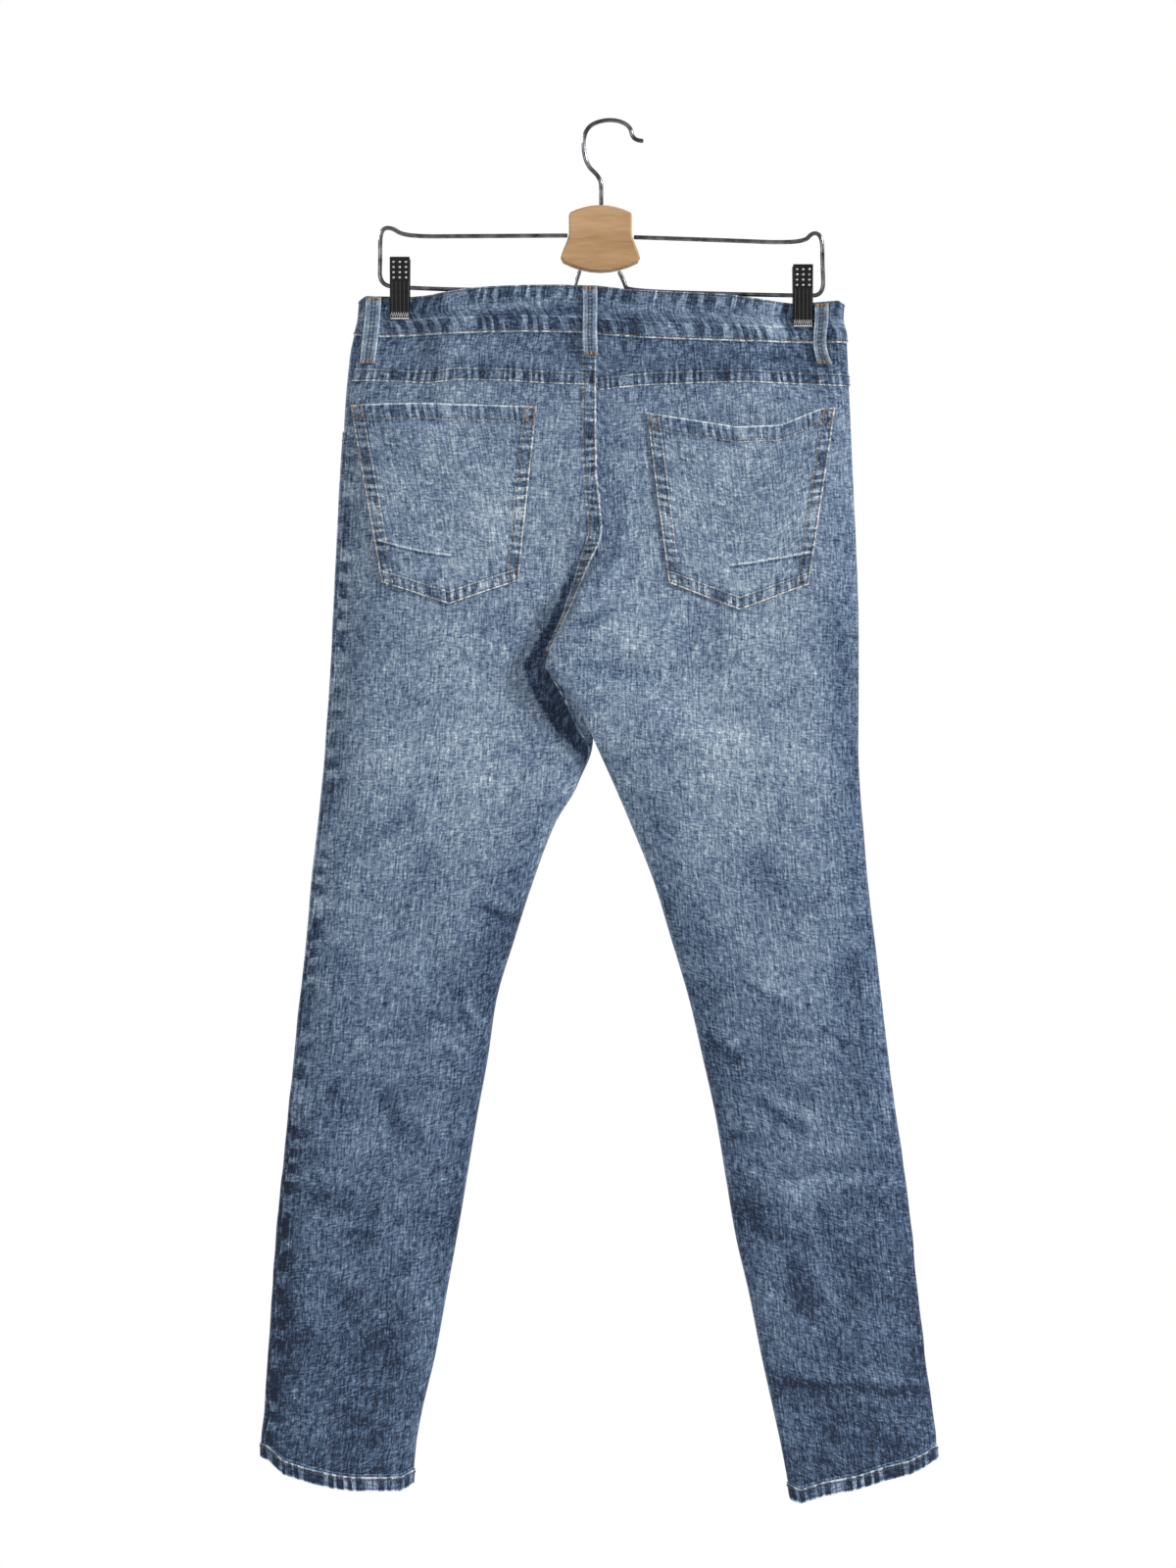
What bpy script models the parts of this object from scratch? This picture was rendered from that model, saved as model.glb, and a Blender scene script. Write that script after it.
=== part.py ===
"""Slim denim jeans hung by the waistband from a wooden clip hanger.

Z is up and the back of the jeans faces -Y. The origin is the inner top of the hook's bend, where the hanger hangs.
All sizes below are millimetres; meshes are made in metres. The cloth is a tube pressed flat: at each height a
section is a smooth curve through a few control points, and a panel is the stretch of that curve between two seams.
"""

import math
from typing import NamedTuple

import bpy
import numpy as np

MM = 0.001

# Driving sizes
DENIM = 1.2              # wall of one layer of denim
BAND_WALL = 2.6          # waistband: outer and inner cloth sewn together
HEM_WALL = 2.6           # hem: the leg turned up twice
HEM_HEIGHT = 11.5
LOOP_WALL = 1.8
LOOP_WIDTH = 11.8
SEAM_GAP = 0.3           # clearance between pieces at a seam
FORK_GAP = 0.9           # more of it where four seams turn round the fork
FORK_REACH = 60.0
LAY_GAP = 0.75           # clearance under a piece that lies on curved cloth
SIDE_SEAM_INSET = 3.9    # the left side seam lies this far inside the outer edge, on the back
RIGHT_SEAM_INSET = 2.2   # the right side seam, on the front
SIDE_TURN = 11.0         # from the outer edge to where the cloth has turned onto the back or front
LEFT_EDGE_Y = -1.2       # depth of the left edge, and of the cloth past its turn
LEFT_TURN_Y = -6.4
RIGHT_EDGE_Y = 2.0
RIGHT_TURN_Y = 7.2
RISE_X = -7.0            # front rise seam at the waist
FRONT_DIP = 22.0         # how far the front waist hangs below the back waist at the centre
SCOOP_WIDTH = 95.0       # front pocket mouth, along the waist
SCOOP_DEPTH = 85.0       # front pocket mouth, down the side
FACING_UNDERLAP = 14.0   # front pocket facing, tucked under the mouth
FLY_WIDTH = 38.0
FLY_DROP = 142.0
BUTTON_RADIUS = 8.5
BUTTON_HEIGHT = 3.2

# Hanger
WIRE_RADIUS = 1.9
WIRE_SIDES = 6
BLOCK_THICKNESS = 15.0
BLOCK_BEVEL = 1.6
JAW_WIDTH = 17.5
JAW_TOP = 26.0           # above the bar
JAW_BOTTOM = -28.0       # below the bar
LEFT_CLIP_X = -182.1
RIGHT_CLIP_X = 171.1
LEFT_BAR_Z = -143.3      # bar height inside each clip
RIGHT_BAR_Z = -149.8
PINCH_HALF = 10.0        # the waistband is flat over this half width under a clip
PINCH_REACH = 44.0       # and is free again this far from the clip's middle
PINCH_Y = 1.65           # middle of each layer from the hanger's plane, where pinched


class Hip(NamedTuple):
    """Section of the one tube above the fork: outer edges and half depths."""

    z: float
    left: float
    right: float
    back: float
    front: float


class Leg(NamedTuple):
    """Section of the two leg tubes: edges across and half depths."""

    z: float
    left_outer: float
    left_inner: float
    right_inner: float
    right_outer: float
    back: float
    front: float


class SeamPoint(NamedTuple):
    """Point of a long seam."""

    z: float
    x: float
    y: float


class InnerEnd(NamedTuple):
    """Control points of a panel's section near its inner seam: a step from the seam, then two more points."""

    z: float
    step_x: float
    step_y: float
    turn_x: float
    turn_y: float
    far_x: float
    far_y: float


class Mark(NamedTuple):
    """Point of an edge line drawn across the cloth."""

    x: float
    z: float


class Fold(NamedTuple):
    """Soft ridge (height above 0) or trough along a line across the cloth."""

    x0: float
    z0: float
    x1: float
    z1: float
    width: float
    height: float


HIPS = (
    Hip(-130, -215.5, 205.5, 9.0, 9.0),
    Hip(-153, -217.0, 206.8, 9.5, 9.0),
    Hip(-171, -218.4, 205.8, 10.5, 9.5),
    Hip(-185, -221.9, 209.0, 11.5, 10.0),
    Hip(-199, -225.0, 209.7, 12.5, 11.0),
    Hip(-219, -227.4, 210.7, 14.0, 12.0),
    Hip(-247, -230.2, 212.2, 16.0, 13.0),
    Hip(-304, -234.2, 214.7, 18.0, 14.0),
    Hip(-355, -236.9, 217.1, 19.0, 14.5),
    Hip(-407, -239.4, 219.1, 19.0, 15.0),
    Hip(-441, -241.2, 219.9, 18.5, 15.0),
    Hip(-477, -243.4, 219.9, 18.0, 15.0),
    Hip(-544, -247.7, 219.7, 16.5, 14.0),
)

LEGS = (
    Leg(-579, -250.3, -26.7, 6.0, 221.0, 15.5, 13.5),
    Leg(-613, -253.7, -46.4, 20.6, 223.6, 15.0, 13.5),
    Leg(-665, -259.7, -66.2, 41.3, 227.9, 14.5, 13.0),
    Leg(-716, -264.0, -82.6, 56.8, 233.9, 14.0, 12.5),
    Leg(-768, -270.0, -98.0, 72.2, 239.9, 13.5, 12.0),
    Leg(-820, -275.2, -105.8, 84.3, 246.0, 13.0, 12.0),
    Leg(-871, -280.4, -115.2, 95.5, 252.8, 12.5, 11.5),
    Leg(-923, -285.5, -123.8, 104.1, 260.6, 12.0, 11.0),
    Leg(-974, -290.7, -132.4, 112.7, 266.6, 11.5, 11.0),
    Leg(-1026, -294.1, -141.9, 124.7, 271.8, 11.0, 10.5),
    Leg(-1078, -297.6, -151.4, 135.0, 277.8, 10.5, 10.0),
    Leg(-1129, -301.0, -163.4, 146.2, 284.7, 10.0, 9.5),
    Leg(-1158, -303.6, -168.5, 152.5, 288.0, 9.5, 9.0),
    Leg(-1215, -301.5, -173.0, 163.0, 293.0, 9.0, 9.0),
)

# Inner seams. Round the fork the seat seam rolls over to the left, and the right leg lies over the left one.
FORK_Z = -478.0
SEAT_SEAM = (
    SeamPoint(-130, -12.0, -9.0), SeamPoint(-171, -11.0, -10.5), SeamPoint(-199, -10.3, -12.5),
    SeamPoint(-247, -10.3, -16.0), SeamPoint(-304, -9.5, -18.0), SeamPoint(-357, -5.2, -20.0),
    SeamPoint(-388, -16.3, -21.5), SeamPoint(-434, -36.1, -24.0), SeamPoint(-472, -53.3, -25.0),
    SeamPoint(-478, -54.5, -25.0),
)
FRONT_RISE = (
    SeamPoint(-130, -7.0, 9.0), SeamPoint(-171, -7.0, 9.5), SeamPoint(-199, -7.0, 11.0),
    SeamPoint(-247, -7.0, 13.0), SeamPoint(-304, -7.0, 14.0), SeamPoint(-357, -7.5, 14.0),
    SeamPoint(-388, -8.0, 13.5), SeamPoint(-410, -9.3, 9.0), SeamPoint(-434, -14.0, -1.0),
    SeamPoint(-456, -32.0, -13.0), SeamPoint(-472, -47.0, -17.5), SeamPoint(-478, -49.0, -18.0),
)
RIGHT_INSEAM = (
    SeamPoint(-478, -52.0, -24.5), SeamPoint(-484, -48.0, -24.3), SeamPoint(-500, -34.0, -23.0),
    SeamPoint(-530, -16.3, -17.0), SeamPoint(-548, -8.0, -12.0), SeamPoint(-579, 6.0, -4.0),
)
LEFT_INSEAM = (
    SeamPoint(-478, -52.0, -15.0), SeamPoint(-484, -50.0, -13.5), SeamPoint(-500, -41.0, -11.7),
    SeamPoint(-530, -27.0, -9.2), SeamPoint(-548, -17.5, -5.0), SeamPoint(-579, -26.7, -1.0),
)
BACK_RIGHT_END = (
    InnerEnd(-304, 6.0, 0.0, 12.0, -18.0, 42.0, -18.0),
    InnerEnd(-357, 6.0, -0.3, 9.0, -20.5, 38.0, -19.5),
    InnerEnd(-388, 3.0, -2.4, -10.0, -27.0, 22.0, -24.0),
    InnerEnd(-410, 1.5, -3.6, -24.0, -32.0, 15.0, -27.0),
    InnerEnd(-434, 0.3, -4.0, -34.5, -33.5, 8.0, -29.0),
    InnerEnd(-472, -0.6, -4.0, -51.5, -36.0, -8.0, -32.0),
    InnerEnd(-484, -1.2, -4.0, -46.5, -35.5, -6.0, -32.0),
    InnerEnd(-500, -0.4, -4.0, -34.0, -34.0, 4.0, -31.0),
    InnerEnd(-530, 0.0, -4.0, -16.3, -28.0, 18.0, -27.0),
    InnerEnd(-548, 0.0, -4.0, -8.0, -23.0, 25.0, -24.0),
    InnerEnd(-579, 0.0, -3.5, 6.5, -13.5, 38.0, -18.0),
)
BACK_LEFT_END = (
    InnerEnd(-304, -6.0, 0.0, -24.0, -18.0, -52.0, -17.5),
    InnerEnd(-357, -6.0, 0.3, -16.0, -19.5, -42.0, -16.0),
    InnerEnd(-388, -3.0, 2.4, -23.0, -14.0, -46.0, -13.0),
    InnerEnd(-410, -1.5, 3.6, -30.0, -12.5, -54.0, -12.0),
    InnerEnd(-434, -0.3, 4.0, -39.5, -12.0, -66.0, -11.5),
    InnerEnd(-472, -0.3, 4.0, -57.0, -12.0, -84.0, -11.5),
    InnerEnd(-484, -6.0, 0.5, -64.0, -12.0, -88.0, -12.0),
    InnerEnd(-500, -6.0, -0.1, -60.0, -12.0, -85.0, -12.5),
    InnerEnd(-530, -6.0, -0.6, -45.0, -11.5, -72.0, -12.5),
    InnerEnd(-548, -3.0, -2.0, -34.0, -11.0, -64.0, -12.5),
    InnerEnd(-579, 0.0, -3.5, -28.0, -9.5, -58.0, -13.5),
)
FRONT_LEFT_END = (
    InnerEnd(-304, -6.0, 0.0, -28.0, 14.0, -60.0, 14.0),
    InnerEnd(-357, -6.0, 0.0, -28.0, 14.0, -60.0, 14.0),
    InnerEnd(-388, -4.5, 1.5, -22.0, 14.6, -58.0, 14.0),
    InnerEnd(-410, -1.6, 2.8, -15.0, 15.0, -50.0, 14.2),
    InnerEnd(-434, -1.2, 4.0, -10.5, 9.5, -34.0, 15.0),
    InnerEnd(-456, -0.4, 4.0, -10.0, -2.0, -18.0, 15.0),
    InnerEnd(-472, -0.6, 4.0, -10.0, -8.5, -13.5, 15.0),
    InnerEnd(-484, 6.0, -0.5, -10.5, -12.0, -13.0, 15.0),
    InnerEnd(-500, 6.0, 0.1, -11.0, -12.5, -13.0, 15.0),
    InnerEnd(-530, 5.0, 0.5, -12.0, -9.5, -13.5, 14.0),
    InnerEnd(-548, 1.8, 1.2, -13.8, 1.0, -15.0, 12.0),
    InnerEnd(-579, 0.0, 3.5, -28.0, 9.0, -48.0, 11.5),
)
FRONT_RIGHT_END = (
    InnerEnd(-304, 6.0, 0.0, 14.0, 14.0, 46.0, 14.0),
    InnerEnd(-357, 6.0, 0.0, 14.0, 14.0, 46.0, 14.0),
    InnerEnd(-388, 4.5, -1.5, 11.0, 11.0, 46.0, 14.0),
    InnerEnd(-410, 1.6, -2.8, 4.0, 4.5, 40.0, 12.0),
    InnerEnd(-434, 1.2, -4.0, 3.0, -7.0, 32.0, 5.0),
    InnerEnd(-456, 0.0, -4.0, -12.0, -18.0, 20.0, -7.0),
    InnerEnd(-472, 2.0, -3.4, -34.0, -22.0, 4.0, -16.0),
    InnerEnd(-484, 3.2, 2.4, -36.0, -20.0, 6.0, -15.0),
    InnerEnd(-500, 0.0, 4.0, -28.0, -16.8, 12.0, -12.5),
    InnerEnd(-530, 0.0, 4.0, -13.0, -9.5, 26.0, 2.0),
    InnerEnd(-548, 0.0, 4.0, -5.0, -3.0, 32.0, 7.0),
    InnerEnd(-579, 0.0, 3.5, 9.0, 6.5, 40.0, 11.5),
)

# Edge lines, left to right as seen from the back
WAIST_TOP = (
    Mark(-218, -156.0), Mark(-212, -151.0), Mark(-172, -151.6), Mark(-155, -150.5), Mark(-141, -147.7),
    Mark(-126, -145.1), Mark(-103, -143.1), Mark(-72, -141.9), Mark(-41, -141.7), Mark(-10, -142.6),
    Mark(18, -145.7), Mark(59, -147.7), Mark(106, -150.0), Mark(136, -154.6), Mark(162, -157.4),
    Mark(181, -156.5), Mark(202, -155.0), Mark(208, -159.0),
)
WAIST_SEAM = (
    Mark(-222, -184.5), Mark(-200, -186.0), Mark(-172, -185.0), Mark(-133, -183.8), Mark(-103, -182.7),
    Mark(-72, -182.3), Mark(-26, -183.0), Mark(-8, -184.5), Mark(29, -187.5), Mark(75, -189.2),
    Mark(121, -190.7), Mark(210, -191.2),
)
YOKE_SEAM = (
    Mark(-228, -224.5), Mark(-195, -225.3), Mark(-156, -227.5), Mark(-133, -224.5), Mark(-87, -225.3),
    Mark(-57, -227.5), Mark(-10, -229.0), Mark(-8, -233.6), Mark(29, -229.6), Mark(75, -227.5),
    Mark(121, -226.2), Mark(167, -228.3), Mark(212, -229.6),
)
LEFT_HEM = (
    Mark(-305, -1168.5), Mark(-297, -1171.5), Mark(-284, -1183.4), Mark(-263, -1190.2), Mark(-242, -1195.4),
    Mark(-222, -1198.0), Mark(-181, -1198.0), Mark(-171, -1192.0),
)
RIGHT_HEM = (
    Mark(158, -1203.0), Mark(163, -1206.6), Mark(169, -1209.2), Mark(189, -1202.3), Mark(217, -1197.1),
    Mark(244, -1188.5), Mark(265, -1183.4), Mark(279, -1176.5), Mark(284, -1172.5), Mark(293, -1168.5),
)
LEFT_POCKET_MOUTH = (Mark(-224.0, -246.8), Mark(-150.0, -246.2), Mark(-61.9, -249.0))
RIGHT_POCKET_MOUTH = (
    Mark(34.2, -254.4), Mark(70.0, -260.0), Mark(113.3, -266.6), Mark(151.7, -265.0), Mark(173.0, -256.0),
    Mark(187.0, -250.6), Mark(198.6, -249.8),
)

# The largest folds of the back and of the front
BACK_FOLDS = (
    Fold(-30, -432, 60, -455, 16, 2.6),
    Fold(-10, -478, 95, -470, 18, -2.4),
    Fold(20, -500, 90, -560, 22, 2.2),
    Fold(-215, -300, -130, -350, 22, -1.8),
    Fold(-72, -672, -150, -712, 20, 2.6),
    Fold(-95, -752, -160, -735, 20, -3.0),
    Fold(-98, -790, -180, -830, 24, 2.6),
    Fold(118, -740, 190, -800, 24, 2.6),
    Fold(96, -800, 150, -838, 20, -2.6),
    Fold(120, -905, 225, -885, 24, 2.4),
    Fold(130, -985, 262, -960, 26, -2.6),
    Fold(148, -1050, 255, -1095, 24, 2.6),
    Fold(-280, -960, -175, -1000, 26, 2.0),
    Fold(-285, -1075, -180, -1060, 24, -2.2),
)
FRONT_FOLDS = (
    Fold(-30, -440, -110, -480, 20, 2.6),
    Fold(10, -455, 100, -490, 22, 2.4),
    Fold(-95, -730, -200, -700, 26, 3.0),
    Fold(-100, -790, -230, -775, 26, -3.0),
    Fold(90, -760, 200, -725, 26, 3.0),
    Fold(100, -830, 215, -800, 26, -3.0),
    Fold(-270, -985, -160, -1010, 28, 2.4),
    Fold(140, -1010, 250, -980, 28, 2.4),
)


class Finish(NamedTuple):
    """Plain colour (linear), roughness and metallic value of a piece."""

    colour: tuple
    roughness: float
    metallic: float


DENIM_BLUE = Finish((0.165, 0.235, 0.330), 0.9, 0.0)
YOKE_BLUE = Finish((0.125, 0.175, 0.250), 0.9, 0.0)
BAND_BLUE = Finish((0.105, 0.145, 0.205), 0.9, 0.0)
HEM_BLUE = Finish((0.055, 0.080, 0.120), 0.9, 0.0)
BEECH = Finish((0.500, 0.300, 0.150), 0.5, 0.0)
CHROME = Finish((0.620, 0.630, 0.650), 0.2, 1.0)
BLACK_PLASTIC = Finish((0.010, 0.010, 0.011), 0.25, 0.0)
BRASS = Finish((0.420, 0.300, 0.160), 0.35, 1.0)


def clear_scene():
    """Empties the scene of objects."""
    for found in list(bpy.data.objects):
        bpy.data.objects.remove(found, do_unlink=True)


def material(name, finish):
    """Plain Principled material of one piece."""
    made = bpy.data.materials.new(name)
    made.use_nodes = True
    shader = made.node_tree.nodes["Principled BSDF"]
    shader.inputs["Base Color"].default_value = (*finish.colour, 1.0)
    shader.inputs["Roughness"].default_value = finish.roughness
    shader.inputs["Metallic"].default_value = finish.metallic
    return made


def add_piece(name, points, faces, finish, parent):
    """One named object from points in millimetres and faces that point outwards, each quad cut the same way."""
    cut = []
    for face in faces:
        a, b, c, *rest = map(int, face)
        cut += [(a, b, c), (a, c, *rest)] if len(rest) == 1 else [(a, b, c, *rest)]
    mesh = bpy.data.meshes.new(name)
    mesh.from_pydata((np.asarray(points) * MM).tolist(), [], cut)
    mesh.validate()
    mesh.materials.append(material(name, finish))
    piece = bpy.data.objects.new(name, mesh)
    bpy.context.collection.objects.link(piece)
    piece.parent = parent
    mesh.shade_smooth()
    mesh.set_sharp_from_angle(angle=math.radians(40))
    return piece


def smooth(query, knots, values):
    """Monotone cubic through rows of values; knots fall with height, so depth below the hook is the variable."""
    where = -np.asarray(query, dtype=float)
    at = -np.asarray(knots, dtype=float)
    rows = np.asarray(values, dtype=float)
    step = np.diff(at)
    slope = np.diff(rows, axis=0) / step.reshape((-1,) + (1,) * (rows.ndim - 1))
    tangent = np.zeros_like(rows)
    product = slope[:-1] * slope[1:]
    total = slope[:-1] + slope[1:]
    tangent[1:-1] = np.where(product > 0, 2 * product / np.where(total == 0, 1, total), 0)
    tangent[0] = slope[0]
    tangent[-1] = slope[-1]
    low = np.clip(np.searchsorted(at, where, side="right") - 1, 0, len(at) - 2)
    extra = (1,) * (rows.ndim - 1)
    width = step[low].reshape(where.shape + extra)
    t = np.clip((where - at[low]) / step[low], 0, 1).reshape(where.shape + extra)
    return (
        (2 * t**3 - 3 * t**2 + 1) * rows[low] + (t**3 - 2 * t**2 + t) * width * tangent[low]
        + (3 * t**2 - 2 * t**3) * rows[low + 1] + (t**3 - t**2) * width * tangent[low + 1]
    )


def line_height(marks, x):
    """Height of an edge line at x."""
    return np.interp(x, [mark.x for mark in marks], [mark.z for mark in marks])


def mix(a, b, share):
    """Straight mix of a and b."""
    return a + (b - a) * share


def ease(t):
    """Smooth step from 0 to 1."""
    t = np.clip(t, 0, 1)
    return t * t * (3 - 2 * t)


def column(table, name):
    """One named column of a table."""
    return np.array([getattr(row, name) for row in table], dtype=float)


def seam_rows(seam):
    """The x and y columns of a seam table."""
    return np.stack([column(seam, "x"), column(seam, "y")], axis=-1)


class Panel:
    """A stretch of the garment's section from a side seam to the seat seam, front rise or inseam.

    A point of it has a share 0..1 along the section and a height z.
    """

    def __init__(self, side, face, ends, seams, folds):
        self.left = side == "left"
        self.out = -1.0 if face == "back" else 1.0
        self.ends = ends
        self.upper_seam, self.lower_seam = seams
        self.folds = folds
        self.depth_name = face
        self.heights, self.controls = self.control_rows()
        self.columns = np.linspace(0, 1, 2 * (self.controls.shape[1] - 1) + 1)

    def outer_points(self, outer, depth, far_x, far_y):
        """Control points from the side seam to the middle of the panel, for one height."""
        out = self.out
        wraps = self.left == (out > 0)
        shares = (0.36, 0.72) if wraps else (0.20, 0.47, 0.76)
        levels = (depth * out,) if wraps else (0.94 * depth * out, depth * out)
        levels += (0.75 * depth * out + 0.25 * far_y,)
        middle = [(mix(outer, far_x, share), level) for share, level in zip(shares, levels)]
        if self.left:
            seam = (outer + SIDE_SEAM_INSET, mix(LEFT_EDGE_Y, LEFT_TURN_Y, SIDE_SEAM_INSET / SIDE_TURN))
            if wraps:
                return [seam, (outer, LEFT_EDGE_Y), (outer, 3.6), (outer + 15, 0.78 * depth)] + middle
            return [seam, (outer + SIDE_TURN, LEFT_TURN_Y)] + middle
        seam = (outer - RIGHT_SEAM_INSET, mix(RIGHT_EDGE_Y, RIGHT_TURN_Y, RIGHT_SEAM_INSET / SIDE_TURN))
        if wraps:
            return [seam, (outer, RIGHT_EDGE_Y), (outer, -3.4), (outer - 15, -0.74 * depth)] + middle
        return [seam, (outer - SIDE_TURN, RIGHT_TURN_Y)] + middle

    def inseam_x(self, row):
        """Inner edge of this panel's leg in a row of the leg table."""
        return row.left_inner if self.left else row.right_inner

    def control_rows(self):
        """Heights and control points, apart from the seam's own, of every section that shapes this panel."""
        heights = []
        rows = []
        outer_name = "left" if self.left else "right"
        hip_heights = column(HIPS, "z")
        way = -1.0 if self.left else 1.0
        for row in HIPS:
            if row.z <= self.ends[0].z:
                continue
            level = getattr(row, self.depth_name) * self.out
            seam = float(self.seam_point(np.array(row.z))[0])
            inner = [(seam + 45 * way, level), (seam + 16 * way, level), (6.0 * way, 0.0)]
            heights.append(row.z)
            rows.append(self.outer_points(getattr(row, outer_name), abs(level), *inner[0]) + inner)
        for end in self.ends:
            depth = float(smooth(end.z, hip_heights, column(HIPS, self.depth_name)))
            edge = float(smooth(end.z, hip_heights, column(HIPS, outer_name)))
            if end.z <= LEGS[0].z:
                edge = LEGS[0].left_outer if self.left else LEGS[0].right_outer
            inner = [(end.far_x, end.far_y), (end.turn_x, end.turn_y), (end.step_x, end.step_y)]
            heights.append(end.z)
            rows.append(self.outer_points(edge, depth, *inner[0]) + inner)
        for row in LEGS[1:]:
            level = getattr(row, self.depth_name) * self.out
            outer_x = row.left_outer if self.left else row.right_outer
            inner_x = self.inseam_x(row)
            span = outer_x - inner_x
            inner = [
                (inner_x + 0.17 * span, 0.94 * level), (inner_x + 0.02 * span, 0.62 * level), (0.0, 3.5 * self.out),
            ]
            heights.append(row.z)
            rows.append(self.outer_points(outer_x, abs(level), *inner[0]) + inner)
        return np.array(heights), np.array(rows)

    def seam_point(self, z):
        """Place (x, y) of the inner seam at heights z: seat seam or front rise, then the inseam below the fork."""
        upper = smooth(np.maximum(z, FORK_Z), column(self.upper_seam, "z"), seam_rows(self.upper_seam))
        legs = [SeamPoint(row.z, self.inseam_x(row), 0.0) for row in LEGS[1:]]
        lower_rows = self.lower_seam + tuple(legs)
        lower = smooth(np.minimum(z, FORK_Z), column(lower_rows, "z"), seam_rows(lower_rows))
        return np.where(np.asarray(z)[..., None] > FORK_Z, upper, lower)

    def point(self, share, z):
        """Points of the cloth's middle surface at shares along the section and heights z, both of one shape."""
        share = np.asarray(share, dtype=float)
        z = np.asarray(z, dtype=float)
        controls = smooth(z, self.heights, self.controls)
        seam = self.seam_point(z)
        step = controls[..., -1, :]
        step_way = step / np.linalg.norm(step, axis=-1, keepdims=True)
        gap = SEAM_GAP + FORK_GAP * np.exp(-(((z - FORK_Z) / FORK_REACH) ** 2))[..., None]
        ends = np.stack([seam + step, seam + step_way * gap / 2], axis=-2)
        controls = np.concatenate([controls[..., :-1, :], ends], axis=-2)
        side_way = controls[..., 1, :] - controls[..., 0, :]
        side_way = side_way / np.linalg.norm(side_way, axis=-1, keepdims=True)
        controls[..., 0, :] += side_way * SEAM_GAP / 2
        spans = controls.shape[-2] - 2
        place = np.clip(share, 0, 1) * spans
        first = np.minimum(place.astype(int), spans - 1)
        t = (place - first)[..., None]
        pick = [np.take_along_axis(controls, (first + k)[..., None, None], axis=-2)[..., 0, :] for k in range(3)]
        start = np.where((first == 0)[..., None], pick[0], (pick[0] + pick[1]) / 2)
        end = np.where((first == spans - 1)[..., None], pick[2], (pick[1] + pick[2]) / 2)
        flat = (1 - t) ** 2 * start + 2 * t * (1 - t) * pick[1] + t**2 * end
        x = flat[..., 0]
        y = flat[..., 1] + self.out * self.fold_height(x, z) * np.sin(np.pi * np.clip(share, 0, 1))
        return np.stack([x, pinch(x, y, z), z], axis=-1)

    def normal(self, share, z):
        """Unit normals of the cloth, outwards, from small steps along the section and down the panel."""
        step = 0.004
        across = self.point(np.minimum(share + step, 1), z) - self.point(np.maximum(share - step, 0), z)
        down = self.point(share, z - 0.5) - self.point(share, z + 0.5)
        turn = -1.0 if self.left == (self.out < 0) else 1.0
        normal = np.cross(across, down) * turn
        return normal / np.linalg.norm(normal, axis=-1, keepdims=True)

    def fold_height(self, x, z):
        """Sum of this face's folds: each a bell across its line that fades at the line's ends."""
        total = np.zeros_like(x)
        for fold in self.folds:
            run = np.array([fold.x1 - fold.x0, fold.z1 - fold.z0])
            length = math.hypot(*run)
            along = ((x - fold.x0) * run[0] + (z - fold.z0) * run[1]) / length**2
            across = ((x - fold.x0) * run[1] - (z - fold.z0) * run[0]) / length
            total += fold.height * np.exp(-((across / fold.width) ** 2)) * ease(along * 3 + 0.5) * ease(3.5 - along * 3)
        return total

    def share_at(self, x, z):
        """Share along the section where the cloth passes x, for sheets that run one way across."""
        shares = np.linspace(0.10, 1.0, 240)
        found = np.empty_like(np.asarray(x, dtype=float))
        for index, (want, height) in enumerate(zip(np.ravel(x), np.ravel(z))):
            line = self.point(shares, np.full_like(shares, height))[:, 0]
            order = np.argsort(line)
            found.flat[index] = np.interp(want, line[order], shares[order])
        return found


def pinch(x, y, z):
    """Depth y pressed towards the hanger's plane under the two clips, fading out below the waistband."""
    pressed = y
    for clip_x in (LEFT_CLIP_X, RIGHT_CLIP_X):
        free = ease((np.abs(x - clip_x) - PINCH_HALF) / (PINCH_REACH - PINCH_HALF))
        free = 1 - (1 - free) * ease((z + 262) / 70)
        pressed = np.where(np.abs(pressed) > PINCH_Y, np.sign(y) * mix(PINCH_Y, np.abs(pressed), free), pressed)
    return pressed


def shell(grid, normal, wall):
    """Closed wall about a grid: points of both faces, and quads of the faces and the four edges."""
    turn = np.sign(np.sum(np.cross(grid[1, 0] - grid[0, 0], grid[0, 1] - grid[0, 0]) * normal[0, 0]))
    normal = normal * turn
    rows, cols = grid.shape[:2]
    points = np.concatenate([(grid + normal * wall / 2).reshape(-1, 3), (grid - normal * wall / 2).reshape(-1, 3)])
    index = np.arange(rows * cols).reshape(rows, cols)
    under = index + rows * cols
    quads = np.stack([index[:-1, :-1], index[1:, :-1], index[1:, 1:], index[:-1, 1:]], axis=-1).reshape(-1, 4)
    faces = [quads, quads[:, [0, 3, 2, 1]] + rows * cols]
    border = [index[0, :], index[:, -1], index[-1, ::-1], index[::-1, 0]]
    for line in border:
        low = under.reshape(-1)[line]
        faces.append(np.stack([line[:-1], line[1:], low[1:], low[:-1]], axis=-1))
    return points, np.concatenate(faces)


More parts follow.
